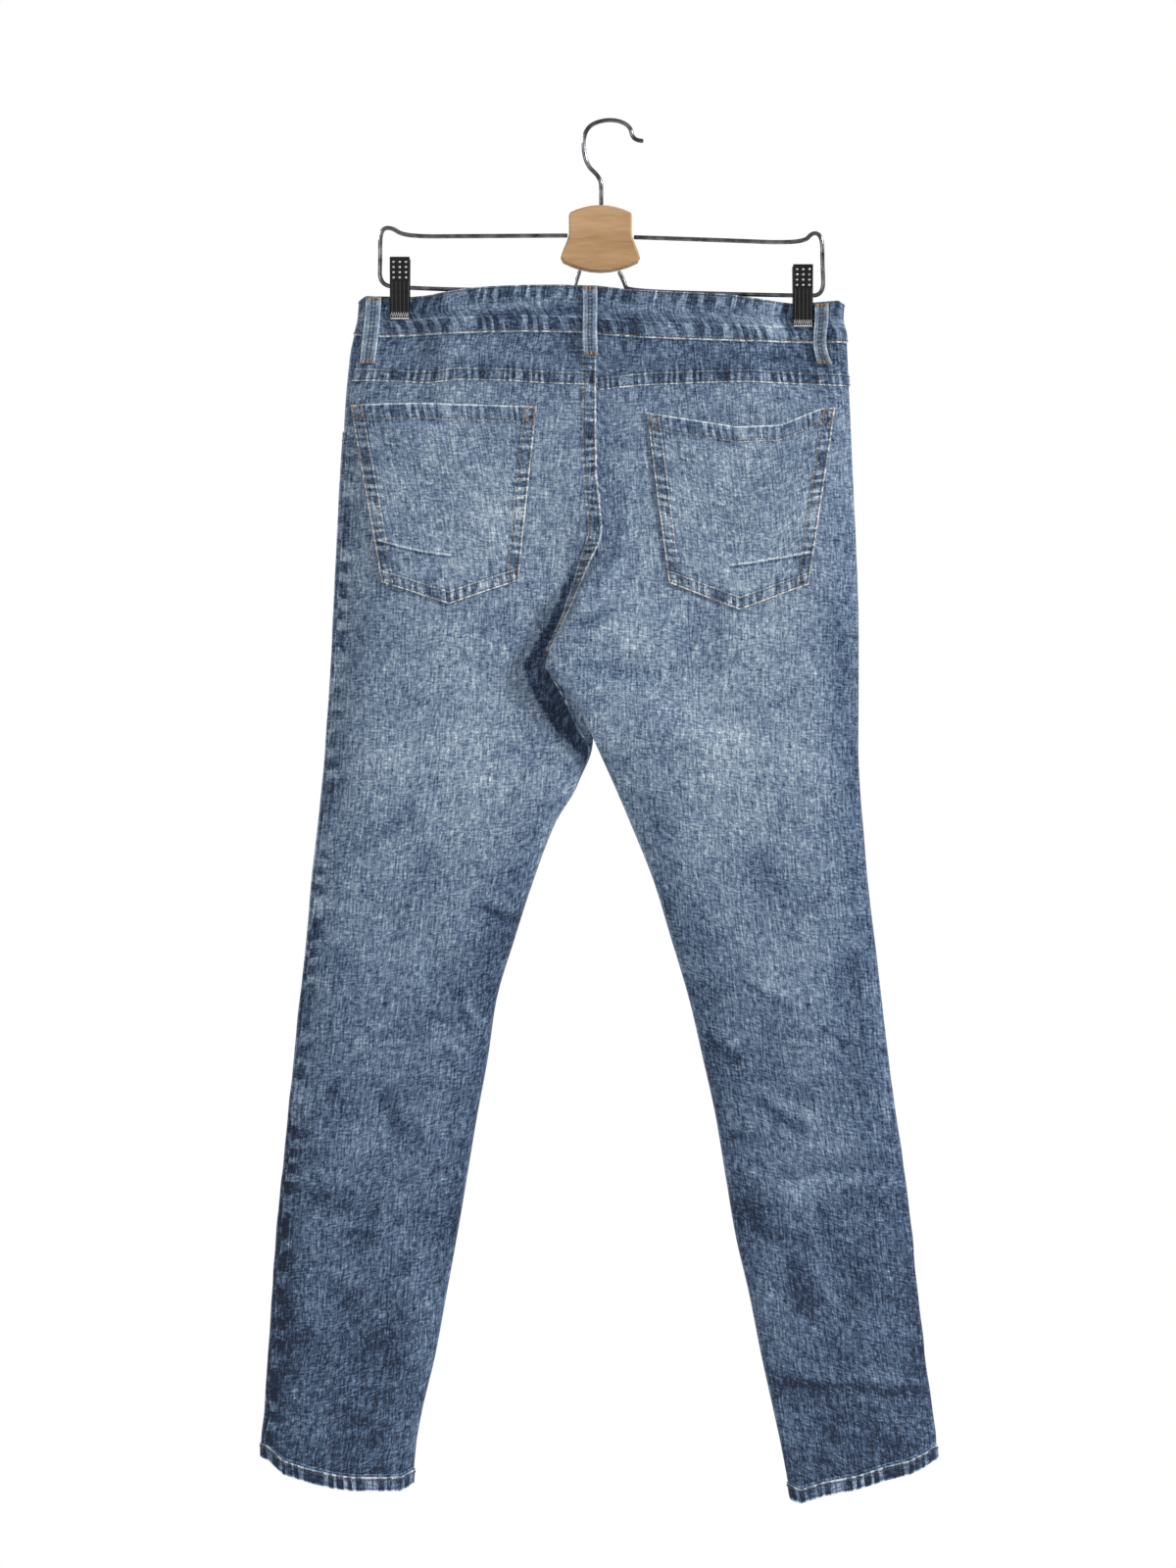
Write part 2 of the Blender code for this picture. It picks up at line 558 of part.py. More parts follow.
def ring_shell(grid, normal, wall):
    """Closed wall about a grid whose last column meets its first: a hollow ring open above and below."""
    turn = np.sign(np.sum(np.cross(grid[1, 0] - grid[0, 0], grid[0, 1] - grid[0, 0]) * normal[0, 0]))
    normal = normal * turn
    rows, cols = grid.shape[:2]
    points = np.concatenate([(grid + normal * wall / 2).reshape(-1, 3), (grid - normal * wall / 2).reshape(-1, 3)])
    index = np.arange(rows * cols).reshape(rows, cols)
    after = np.roll(index, -1, axis=1)
    quads = np.stack([index[:-1], index[1:], after[1:], after[:-1]], axis=-1).reshape(-1, 4)
    count = rows * cols
    top = np.stack([index[0], after[0], after[0] + count, index[0] + count], axis=-1)
    bottom = np.stack([after[-1], index[-1], index[-1] + count, after[-1] + count], axis=-1)
    return points, np.concatenate([quads, quads[:, [0, 3, 2, 1]] + count, top, bottom])


BACK_LEFT = Panel("left", "back", BACK_LEFT_END, (SEAT_SEAM, LEFT_INSEAM), BACK_FOLDS)
BACK_RIGHT = Panel("right", "back", BACK_RIGHT_END, (SEAT_SEAM, RIGHT_INSEAM), BACK_FOLDS)
FRONT_LEFT = Panel("left", "front", FRONT_LEFT_END, (FRONT_RISE, LEFT_INSEAM), FRONT_FOLDS)
FRONT_RIGHT = Panel("right", "front", FRONT_RIGHT_END, (FRONT_RISE, RIGHT_INSEAM), FRONT_FOLDS)


def front_waist(marks, x):
    """A back waist line brought round to the front, where it hangs lower at the centre."""
    middle = (LEFT_CLIP_X + RIGHT_CLIP_X) / 2
    reach = (RIGHT_CLIP_X - LEFT_CLIP_X) / 2
    return line_height(marks, x) - FRONT_DIP * (1 - ease(np.abs(x - middle) / reach))


def scoop_depth(inset):
    """Drop of the front pocket mouth below the waist seam, at a distance in from the outer edge."""
    return SCOOP_DEPTH * (1 - np.clip(inset / SCOOP_WIDTH, 0, 1) ** 2) ** 0.75


def front_top(panel, x, outer):
    """Top edge of a front panel: the waist seam, scooped out for the pocket near the side."""
    return front_waist(WAIST_SEAM, x) - scoop_depth(np.abs(x - outer))


def level_edges(normal):
    """Normals with those of the first and last row laid level, so that walls meet squarely across a seam."""
    level = normal.copy()
    level[[0, -1], :, 2] = 0
    return level / np.linalg.norm(level, axis=-1, keepdims=True)


def panel_grid(panel, base_rows, top_edge, bottom_edge, top_fade, bottom_fade):
    """Grid of a long panel: level rows, bent near the top and bottom to follow the two edge lines."""
    share, base = np.meshgrid(panel.columns, base_rows)
    top, bottom = base_rows[0], base_rows[-1]
    keep_top = np.clip((base - top_fade) / (top - top_fade), 0, 1)
    keep_bottom = np.clip((bottom_fade - base) / (bottom_fade - bottom), 0, 1)
    z = base
    for _ in range(6):
        x = panel.point(share, z)[..., 0]
        edge_x = np.broadcast_to(x[:1], x.shape)
        foot_x = np.broadcast_to(x[-1:], x.shape)
        z = base + (top_edge(edge_x) - top) * keep_top + (bottom_edge(foot_x) - bottom) * keep_bottom
    return panel.point(share, z), level_edges(panel.normal(share, z))


def base_rows(top, bottom):
    """Row heights of a leg panel: close together at the seat and fork, wider apart down the leg."""
    seat = np.append(np.linspace(top, -300, 4), (-325, -350, -370, -380))
    fork = np.append(np.linspace(-390, -510, 11), (-532, -555, -580))
    leg = np.linspace(-622, bottom, 13)
    return np.concatenate([seat, fork, leg])


def hem_line(marks):
    """Lower edge of a leg panel, above its hem."""
    return lambda x: line_height(marks, x) + HEM_HEIGHT + SEAM_GAP


def build_leg_panels(parent):
    """Back and front of each leg, from yoke or waist to hem."""
    hems = {True: LEFT_HEM, False: RIGHT_HEM}
    for name, panel in (("back_left", BACK_LEFT), ("back_right", BACK_RIGHT)):
        grid = panel_grid(
            panel, base_rows(-226, -1180), lambda x: line_height(YOKE_SEAM, x) - SEAM_GAP / 2,
            hem_line(hems[panel.left]), -320, -620,
        )
        add_piece(name, *shell(*grid, DENIM), DENIM_BLUE, parent)
    for name, panel in (("front_left", FRONT_LEFT), ("front_right", FRONT_RIGHT)):
        outer = HIPS[4].left if panel.left else HIPS[4].right

        def top_edge(x, panel=panel, outer=outer):
            return front_top(panel, x, outer) - SEAM_GAP / 2

        grid = panel_grid(
            panel, base_rows(-200, -1180), top_edge, hem_line(hems[panel.left]), -430, -620,
        )
        add_piece(name, *shell(*grid, DENIM), DENIM_BLUE, parent)


def build_yokes(parent):
    """The two shaped pieces between waistband and back panels."""
    for name, panel in (("yoke_left", BACK_LEFT), ("yoke_right", BACK_RIGHT)):
        share, down = np.meshgrid(panel.columns, np.linspace(0, 1, 3))
        z = np.full_like(share, -200.0)
        for _ in range(6):
            x = panel.point(share, z)[..., 0]
            upper = line_height(WAIST_SEAM, x) - SEAM_GAP / 2
            lower = line_height(YOKE_SEAM, x) + SEAM_GAP / 2
            z = mix(upper, lower, down)
        normal = level_edges(panel.normal(share, z))
        add_piece(name, *shell(panel.point(share, z), normal, DENIM), YOKE_BLUE, parent)


def waist_path():
    """Stations (panel, share) round the waist, from the front's right end round the back to the front's left end.

    They are the panels' own columns, and the edges and middle of each clip.
    """
    stations = []
    for panel, outwards in ((FRONT_RIGHT, True), (BACK_RIGHT, False), (BACK_LEFT, True), (FRONT_LEFT, False)):
        clip_x = LEFT_CLIP_X if panel.left else RIGHT_CLIP_X
        stops = np.array([clip_x - PINCH_HALF, clip_x, clip_x + PINCH_HALF])
        shares = np.concatenate([panel.columns, panel.share_at(stops, np.full(3, -168.0))])
        shares = np.sort(shares)
        close = np.diff(shares, prepend=-1) < 0.012
        shares = shares[~close]
        stations += [(panel, share) for share in (shares[::-1] if outwards else shares)]
    return stations


def waist_points(stations, down):
    """Points and normals of the waistband's middle surface at a share down from its top edge to its seam."""
    points = []
    normals = []
    for panel, share in stations:
        at = np.array([share])
        z = np.array([-170.0])
        for _ in range(5):
            x = panel.point(at, z)[..., 0]
            if panel.out < 0:
                upper, lower = line_height(WAIST_TOP, x), line_height(WAIST_SEAM, x) + SEAM_GAP / 2
            else:
                upper, lower = front_waist(WAIST_TOP, x), front_waist(WAIST_SEAM, x) + SEAM_GAP / 2
            z = mix(upper, lower, down)
        points.append(panel.point(at, z)[0])
        normals.append(panel.normal(at, z)[0])
    return np.array(points), np.array(normals)


def build_waistband(parent):
    """The band round the waist, its left end lapped over its right end at the front."""
    stations = waist_path()
    rows = [waist_points(stations, down) for down in (0.0, 0.5, 1.0)]
    grid = np.array([row[0] for row in rows])
    normal = np.array([row[1] for row in rows])
    lap = BAND_WALL + SEAM_GAP + 0.15
    tucks = [grid[:, :1] + np.array([reach, -lap, 0.0]) for reach in (-34.0, -16.0)]
    grid[:, 0, 1] -= lap
    grid[:, 1, 1] -= 0.55 * lap
    grid = np.concatenate(tucks + [grid], axis=1)
    normal = np.concatenate([normal[:, :1], normal[:, :1], normal], axis=1)
    normal = level_edges(normal)
    add_piece("waistband", *shell(grid, normal, BAND_WALL), BAND_BLUE, parent)


def build_hems(parent):
    """The turned-up ring at the foot of each leg."""
    for name, back, front, marks in (
        ("hem_left", BACK_LEFT, FRONT_LEFT, LEFT_HEM), ("hem_right", BACK_RIGHT, FRONT_RIGHT, RIGHT_HEM),
    ):
        stations = [(back, share) for share in back.columns]
        stations += [(front, share) for share in front.columns[::-1]]
        rows = []
        for down in (1.0, 0.0):
            points = []
            for panel, share in stations:
                at = np.array([share])
                z = np.array([-1185.0])
                for _ in range(6):
                    x = panel.point(at, z)[..., 0]
                    z = line_height(marks, x) + HEM_HEIGHT * down
                points.append(np.stack([panel.point(at, z)[0], panel.normal(at, z)[0]]))
            rows.append(points)
        rows = np.array(rows)
        add_piece(name, *ring_shell(rows[:, :, 0], level_edges(rows[:, :, 1]), HEM_WALL), HEM_BLUE, parent)


def face_points(face, x, z):
    """Points of the back or front of the garment at x and z, above the fork, where no sheet runs twice."""
    left, right = (BACK_LEFT, BACK_RIGHT) if face == "back" else (FRONT_LEFT, FRONT_RIGHT)
    seam = left.point(np.ones_like(x), z)[..., 0]
    on_left = left.point(left.share_at(np.minimum(x, seam), z), z)
    on_right = right.point(right.share_at(np.maximum(x, seam), z), z)
    depth = np.where(x < seam, on_left[..., 1], on_right[..., 1])
    return np.stack([x, depth, z], axis=-1)


def lay_on(face, x, z, lift):
    """Points over the back or front at x and z, moved out along the cloth's normal, and the normals."""
    step = 1.0
    grid = face_points(face, x, z)
    along = face_points(face, x + step, z) - face_points(face, x - step, z)
    down = face_points(face, x, z - step) - face_points(face, x, z + step)
    normal = np.cross(along, down)
    normal /= np.linalg.norm(normal, axis=-1, keepdims=True)
    normal *= np.sign(normal[..., 1:2]) * (-1.0 if face == "back" else 1.0)
    return grid + normal * np.asarray(lift)[..., None], normal


class Pocket(NamedTuple):
    """Back pocket: mouth line and the three lower corners."""

    name: str
    mouth: tuple
    inner_low: Mark
    tip: Mark
    outer_low: Mark


POCKETS = (
    Pocket("back_pocket_left", LEFT_POCKET_MOUTH, Mark(-196.9, -402.5), Mark(-138.5, -421.4), Mark(-78.3, -400.8)),
    Pocket("back_pocket_right", RIGHT_POCKET_MOUTH, Mark(53.3, -403.3), Mark(115.2, -426.6), Mark(175.4, -404.2)),
)


def build_back_pockets(parent):
    """Patch pockets that lie on the back panels."""
    for pocket in POCKETS:
        across, down = np.meshgrid(np.linspace(0, 1, 9), np.linspace(0, 1, 8))
        left = mix(pocket.mouth[0].x, pocket.inner_low.x, down)
        right = mix(pocket.mouth[-1].x, pocket.outer_low.x, down)
        x = mix(left, right, across)
        tip_share = (pocket.tip.x - pocket.inner_low.x) / (pocket.outer_low.x - pocket.inner_low.x)
        foot = np.interp(across, (0, tip_share, 1), (pocket.inner_low.z, pocket.tip.z, pocket.outer_low.z))
        mouth_x = mix(pocket.mouth[0].x, pocket.mouth[-1].x, across)
        z = mix(line_height(pocket.mouth, mouth_x), foot, down)
        add_piece(pocket.name, *shell(*lay_on("back", x, z, DENIM + LAY_GAP), DENIM), DENIM_BLUE, parent)


class BeltLoop(NamedTuple):
    """Belt loop: the face it lies on, its middle at the top and foot, and the sideways bow between."""

    name: str
    face: str
    top: Mark
    foot: Mark
    bow: float


LOOPS = (
    BeltLoop("belt_loop_back", "back", Mark(-15.5, -143.2), Mark(-14.4, -204.0), -0.5),
    BeltLoop("belt_loop_back_left", "back", Mark(-205.2, -152.5), Mark(-210.4, -210.5), 0.5),
    BeltLoop("belt_loop_back_right", "back", Mark(187.8, -157.5), Mark(190.8, -211.0), -2.5),
    BeltLoop("belt_loop_front_left", "front", Mark(-98.0, -153.0), Mark(-98.5, -219.0), 0.6),
    BeltLoop("belt_loop_front_right", "front", Mark(86.0, -158.0), Mark(86.5, -222.0), -0.6),
)


def build_belt_loops(parent):
    """Narrow straps over the waistband, arched clear of it between their sewn ends."""
    for loop in LOOPS:
        t, across = np.meshgrid(np.linspace(0, 1, 9), (-0.5, 0.0, 0.5), indexing="ij")
        arch = np.sin(np.pi * t)
        x = mix(loop.top.x, loop.foot.x, t) + loop.bow * arch + across * LOOP_WIDTH
        z = mix(loop.top.z, loop.foot.z, t)
        over_band = BAND_WALL / 2 + LOOP_WALL / 2 + LAY_GAP
        lift = over_band + 1.4 * arch**2
        add_piece(loop.name, *shell(*lay_on(loop.face, x, z, lift), LOOP_WALL), BAND_BLUE, parent)


def build_front_facings(parent):
    """Hip pieces that show in the front pocket mouths, tucked under the front panels."""
    for name, panel, outer in (
        ("pocket_facing_left", FRONT_LEFT, HIPS[4].left),
        ("pocket_facing_right", FRONT_RIGHT, HIPS[4].right),
    ):
        way = 1.0 if panel.left else -1.0
        reach = outer + way * (SCOOP_WIDTH + FACING_UNDERLAP)
        last = float(panel.share_at(np.array([reach]), np.array([-230.0]))[0])
        columns = np.append(panel.columns[panel.columns < last - 0.02], last)
        share, down = np.meshgrid(columns, np.linspace(0, 1, 6))
        z = np.full_like(share, -230.0)
        for _ in range(8):
            x = panel.point(share, z)[..., 0]
            inset = np.abs(x - outer)
            under = ease((inset - 2) / 10)
            upper = front_waist(WAIST_SEAM, x) - SEAM_GAP / 2
            lower = front_waist(WAIST_SEAM, x) - scoop_depth(inset) + SEAM_GAP / 2
            lower = lower - ease((inset - 24) / 16) * (FACING_UNDERLAP + SEAM_GAP)
            z = mix(upper, lower, down)
        normal = panel.normal(share, z)
        grid = panel.point(share, z) - normal * (under * (DENIM + LAY_GAP))[..., None]
        add_piece(name, *shell(grid, normal, DENIM), YOKE_BLUE, parent)


def build_fly(parent):
    """Fly piece over the front rise, with its curved foot, and the waist button above it."""
    across, down = np.meshgrid(np.linspace(0, 1, 6), np.linspace(0, 1, 10))
    x = RISE_X + 4.0 - across * FLY_WIDTH
    top = front_waist(WAIST_SEAM, x) - SEAM_GAP
    foot = top - FLY_DROP * (1 - 0.32 * across**2.2)
    z = mix(top, foot, down)
    add_piece("fly", *shell(*lay_on("front", x, z, DENIM + LAY_GAP), DENIM), DENIM_BLUE, parent)

    x = RISE_X - 10.0
    z = (float(front_waist(WAIST_TOP, x)) + float(front_waist(WAIST_SEAM, x))) / 2
    seat = float(face_points("front", np.array([x]), np.array([z]))[0, 1]) + BAND_WALL / 2 + LAY_GAP
    rings = ((0.0, 4.0), (0.8, 4.0), (1.0, BUTTON_RADIUS), (BUTTON_HEIGHT - 0.8, BUTTON_RADIUS),
             (BUTTON_HEIGHT, BUTTON_RADIUS - 1.0), (BUTTON_HEIGHT - 0.6, BUTTON_RADIUS - 2.2))
    add_piece("waist_button", *turned(rings, 12, (x, seat, z)), BRASS, parent)


def turned(rings, sides, centre):
    """Closed body turned about +Y: rings of (height along Y, radius) from foot to face."""
    angle = np.arange(sides) * 2 * math.pi / sides
    points = [
        np.stack([centre[0] + radius * np.cos(angle), np.full(sides, centre[1] + rise),
                  centre[2] + radius * np.sin(angle)], axis=-1)
        for rise, radius in rings
    ]
    faces = [list(range(sides))]
    for level in range(len(rings) - 1):
        for k in range(sides):
            after = (k + 1) % sides
            low, high = level * sides, (level + 1) * sides
            faces.append([low + k, high + k, high + after, low + after])
    faces.append(list(range(len(rings) * sides - 1, (len(rings) - 1) * sides - 1, -1)))
    return np.concatenate(points), faces


def rounded_path(corners, step):
    """Smooth route through bend points in the hanger's plane, as a quadratic spline read at even steps."""
    corners = np.array(corners, dtype=float)
    starts = np.concatenate([corners[:1], (corners[1:-2] + corners[2:-1]) / 2])
    ends = np.concatenate([(corners[1:-2] + corners[2:-1]) / 2, corners[-1:]])
    t = np.linspace(0, 1, 24, endpoint=False)[:, None]
    pieces = [
        (1 - t) ** 2 * start + 2 * t * (1 - t) * corner + t**2 * end
        for start, corner, end in zip(starts, corners[1:-1], ends)
    ]
    line = np.concatenate(pieces + [corners[-1:]])
    run = np.concatenate([[0], np.cumsum(np.linalg.norm(np.diff(line, axis=0), axis=1))])
    even = np.linspace(0, run[-1], max(2, int(round(run[-1] / step))) + 1)
    return np.stack([np.interp(even, run, line[:, k]) for k in range(2)], axis=-1)


def wire(route, radius):
    """Round closed wire along a route of (x, z) in the plane y = 0."""
    tangent = np.gradient(route, axis=0)
    tangent /= np.linalg.norm(tangent, axis=1, keepdims=True)
    angle = np.arange(WIRE_SIDES) * 2 * math.pi / WIRE_SIDES
    side = np.stack([-tangent[:, 1], np.zeros(len(route)), tangent[:, 0]], axis=-1)
    depth = np.array([0.0, 1.0, 0.0])
    centre = np.stack([route[:, 0], np.zeros(len(route)), route[:, 1]], axis=-1)
    points = (
        centre[:, None] + radius * (side[:, None] * np.cos(angle)[:, None] + depth * np.sin(angle)[:, None])
    ).reshape(-1, 3)
    faces = [list(range(WIRE_SIDES))]
    for level in range(len(route) - 1):
        for k in range(WIRE_SIDES):
            after = (k + 1) % WIRE_SIDES
            low, high = level * WIRE_SIDES, (level + 1) * WIRE_SIDES
            faces.append([low + k, high + k, high + after, low + after])
    last = (len(route) - 1) * WIRE_SIDES
    faces.append(list(range(last + WIRE_SIDES - 1, last - 1, -1)))
    return points, faces


LEFT_WIRE = (
    (-35.0, -97.5), (-120.0, -98.0), (-178.0, -98.4), (-190.0, -90.0), (-199.5, -92.0), (-199.5, -118.0),
    (-200.0, -141.0), (-180.0, -143.2), (-127.0, -145.2), (-29.0, -146.0), (-28.5, -140.0), (-24.5, -128.1),
)
RIGHT_WIRE = (
    (22.8, -99.0), (100.0, -101.5), (172.0, -104.5), (180.0, -94.0), (188.5, -98.0), (188.5, -122.0),
    (190.0, -150.0), (171.0, -150.2), (110.0, -149.0), (16.5, -146.0), (15.5, -140.0), (10.0, -128.8),
)
HOOK = (
    (-5.6, -70.9), (-5.6, -60.0), (-5.8, -47.0), (-20.5, -34.0), (-21.5, -3.0), (0.0, 5.5), (20.0, 0.0),
    (22.0, -14.5), (31.5, -14.5),
)


def build_hanger(parent):
    """Wooden block with its hook, and a bent wire on each side that carries a clip."""
    add_piece("hanger_wire_left", *wire(rounded_path(LEFT_WIRE, 8.0), WIRE_RADIUS), CHROME, parent)
    add_piece("hanger_wire_right", *wire(rounded_path(RIGHT_WIRE, 8.0), WIRE_RADIUS), CHROME, parent)
    add_piece("hanger_hook", *wire(rounded_path(HOOK, 5.0), WIRE_RADIUS), CHROME, parent)
    build_block(parent)
    for side, clip_x, bar_z in (("left", LEFT_CLIP_X, LEFT_BAR_Z), ("right", RIGHT_CLIP_X, RIGHT_BAR_Z)):
        for face, out in (("back", -1.0), ("front", 1.0)):
            add_piece(f"clip_{side}_{face}", *jaw(clip_x, bar_z, out), BLACK_PLASTIC, parent)


def block_outline():
    """Bell outline of the wooden block: arched top, straight neck, flared foot with an arched lower edge."""
    middle, neck, foot = -6.4, 27.6, 34.8
    crown, shoulder, waist, corner, low = -71.4, -78.3, -97.2, -117.5, -129.9
    t = np.linspace(-1, 1, 9)
    top = [(middle + neck * k, crown - (crown - shoulder) * k * k) for k in t]
    flare = np.linspace(0, 1, 6)
    right = [(middle + mix(neck, foot, float(ease(k)) * 0.4 + k * 0.6), mix(waist, corner, k)) for k in flare]
    bottom = [(middle + (foot - 2.0) * k, low + (corner - 4.0 - low) * k * k) for k in t[::-1]]
    left = [(2 * middle - x, z) for x, z in right[::-1]]
    return np.array(top + right + bottom + left)


def build_block(parent):
    """The outline carried through the block's thickness, with eased edges."""
    outline = block_outline()
    count = len(outline)
    half = BLOCK_THICKNESS / 2
    rear = np.insert(outline, 1, -half, axis=1)
    front = np.insert(outline, 1, half, axis=1)
    faces = [list(range(count))[::-1], list(range(count, 2 * count))]
    faces += [[k, (k + 1) % count, (k + 1) % count + count, k + count] for k in range(count)]
    block = add_piece("hanger_block", np.concatenate([rear, front]), faces, BEECH, parent)
    bevel = block.modifiers.new("eased edges", "BEVEL")
    bevel.width = BLOCK_BEVEL * MM
    bevel.segments = 1
    bevel.limit_method = "ANGLE"
    bevel.angle_limit = math.radians(50)


JAW_PROFILE = (
    (8.4, JAW_TOP), (4.6, 6.0), (2.3, 3.2), (2.3, -3.2), (3.9, -5.6), (3.3, -12.0), (3.3, JAW_BOTTOM),
    (6.6, JAW_BOTTOM), (8.6, -8.0), (9.4, 6.0), (12.0, JAW_TOP),
)


def jaw(clip_x, bar_z, out):
    """One half of a clip: a plate that rests on the bar above and presses the waistband below."""
    profile = np.array(JAW_PROFILE)
    count = len(profile)
    half = JAW_WIDTH / 2
    sides = [
        np.stack([np.full(count, clip_x + half * end), out * profile[:, 0], bar_z + profile[:, 1]], axis=-1)
        for end in (-1, 1)
    ]
    faces = [list(range(count)), list(range(2 * count - 1, count - 1, -1))]
    faces += [[k, k + count, (k + 1) % count + count, (k + 1) % count] for k in range(count)]
    if out > 0:
        faces = [face[::-1] for face in faces]
    return np.concatenate(sides), faces


def main():
    """Builds every piece under one empty at the hook."""
    clear_scene()
    root = bpy.data.objects.new("jeans_on_hanger", None)
    bpy.context.collection.objects.link(root)
    build_leg_panels(root)
    build_yokes(root)
    build_waistband(root)
    build_hems(root)
    build_back_pockets(root)
    build_belt_loops(root)
    build_front_facings(root)
    build_fly(root)
    build_hanger(root)


main()
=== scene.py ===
"""Slim denim jeans hung by the waistband from a wooden clip hanger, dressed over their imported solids.

Z is up and the back of the jeans faces -Y. Tables are millimetres in the frame of the solids; meshes are
metres. Each cloth piece is a grid worked out as whole arrays: shares across a section of the garment and
heights down it.
"""

import logging
import math
from dataclasses import dataclass, field
from enum import Enum
from typing import Any, Callable, NamedTuple, Optional, Sequence

import bmesh
import bpy
import numpy as np
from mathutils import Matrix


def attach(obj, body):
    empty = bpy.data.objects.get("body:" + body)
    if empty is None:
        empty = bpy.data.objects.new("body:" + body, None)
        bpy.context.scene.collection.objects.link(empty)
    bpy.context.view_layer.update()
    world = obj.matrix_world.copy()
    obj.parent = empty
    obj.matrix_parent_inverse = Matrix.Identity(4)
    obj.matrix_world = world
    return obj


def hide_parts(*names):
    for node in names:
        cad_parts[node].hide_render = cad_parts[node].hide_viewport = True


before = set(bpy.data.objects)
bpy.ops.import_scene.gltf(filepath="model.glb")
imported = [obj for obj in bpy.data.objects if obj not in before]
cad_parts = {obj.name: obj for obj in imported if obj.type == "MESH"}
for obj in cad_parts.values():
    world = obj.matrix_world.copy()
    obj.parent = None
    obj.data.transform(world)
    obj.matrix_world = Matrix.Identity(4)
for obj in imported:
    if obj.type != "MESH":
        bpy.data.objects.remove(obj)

Array = np.ndarray
LOG = logging.getLogger("jeans")
MM = 0.001
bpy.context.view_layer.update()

# Walls, widths and places in millimetres, for the cloth, its seams, the front's guessed forms and the hanger.
DENIM = 1.2
BAND_WALL = 2.6
HEM_WALL = 2.6
HEM_HEIGHT = 11.5
LOOP_WALL = 1.8
LOOP_WIDTH = 11.8
LAY_GAP = 0.75
SIDE_TURN = 11.0
WRAP_REACH = 15.0
RISE_X = -7.0
FRONT_DIP = 22.0
SCOOP_WIDTH = 95.0
SCOOP_DEPTH = 85.0
FACING_UNDERLAP = 14.0
FLY_WIDTH = 38.0
FLY_DROP = 142.0
LEFT_CLIP_X = -182.1
RIGHT_CLIP_X = 171.1
LEFT_BAR_Z = -143.3
RIGHT_BAR_Z = -149.8
PINCH_HALF = 10.0
PINCH_REACH = 44.0
PINCH_Y = 1.65
PINCH_FOOT = -262.0
PINCH_FADE = 70.0
FORK_Z = -478.0

# Distances of the rows of stitches from the edges of felled seams, pockets and the front's pieces.
FELL_ROWS = (1.9, 9.6)
POCKET_ROWS = (1.9, 9.4)
FRONT_ROWS = (2.0, 8.4)

# Turns of fitting heights to edge lines; distance that stands for no drawn line; least share of a sheet's box
# that its cut fills; the white of the room; the socket type of numbers.
STRIP_ROUNDS = 5
NO_LINE = 99.0
LEAST_CUT_SHARE = 0.301
WHITE = (1.0, 1.0, 1.0, 1.0)
FLOAT = "NodeSocketFloat"


class Side(Enum):
    """Which leg a panel belongs to, as seen from the back."""

    LEFT = "left"
    RIGHT = "right"


class Face(Enum):
    """Back or front of the garment."""

    BACK = "back"
    FRONT = "front"


class Edge(Enum):
    """The four sides of a cloth grid."""

    LEFT = "left"
    RIGHT = "right"
    TOP = "top"
    FOOT = "foot"


class Hip(NamedTuple):
    """Section of the one tube above the fork."""

    z: float
    left: float
    right: float
    back: float
    front: float


class Leg(NamedTuple):
    """Section of the two leg tubes."""

    z: float
    left_outer: float
    left_inner: float
    right_inner: float
    right_outer: float
    back: float
    front: float


class SideSeam(NamedTuple):
    """How a section goes round its side: where the seam lies, and depths of the points that turn the edge."""

    way: float
    inset: float
    edge_y: float
    turn_y: float
    wrap_y: float
    wrap_share: float


class SeamPoint(NamedTuple):
    """Point of a long seam."""

    z: float
    x: float
    y: float


class InnerEnd(NamedTuple):
    """Control points of a section near its inner seam: a step from the seam, then two more points."""

    z: float
    step_x: float
    step_y: float
    turn_x: float
    turn_y: float
    far_x: float
    far_y: float


class Mark(NamedTuple):
    """Point of an edge line drawn across the cloth."""

    x: float
    z: float


class Fade(NamedTuple):
    """Fade of the denim at a height, 0 dark to 1 pale."""

    z: float
    tone: float


class Crease(NamedTuple):
    """Soft ridge (height above 0) or trough along a line bowed to one side; lean makes one flank steeper."""

    x0: float
    z0: float
    x1: float
    z1: float
    width: float
    height: float
    bow: float = 0.0
    lean: float = 0.0


class Patch(NamedTuple):
    """Soft oval of lighter (above 0) or darker cloth."""

    x: float
    z: float
    reach_x: float
    reach_z: float
    tone: float


def table_of(kind: Any, *table: Sequence[Any]) -> tuple:
    """A table whose rows are all of one kind."""
    return tuple(kind(*row) for row in table)


SIDE_SEAMS = {
    Side.LEFT: SideSeam(1.0, 3.9, -1.2, -6.4, 3.6, 0.78),
    Side.RIGHT: SideSeam(-1.0, 2.2, 2.0, 7.2, -3.4, -0.74),
}
HIPS = table_of(
    Hip,
    (-130, -215.5, 205.5, 9.0, 9.0),
    (-153, -217.0, 206.8, 9.5, 9.0),
    (-171, -218.4, 205.8, 10.5, 9.5),
    (-185, -221.9, 209.0, 11.5, 10.0),
    (-199, -225.0, 209.7, 12.5, 11.0),
    (-219, -227.4, 210.7, 14.0, 12.0),
    (-247, -230.2, 212.2, 16.0, 13.0),
    (-304, -234.2, 214.7, 18.0, 14.0),
    (-355, -236.9, 217.1, 19.0, 14.5),
    (-407, -239.4, 219.1, 19.0, 15.0),
    (-441, -241.2, 219.9, 18.5, 15.0),
    (-477, -243.4, 219.9, 18.0, 15.0),
    (-544, -247.7, 219.7, 16.5, 14.0),
)
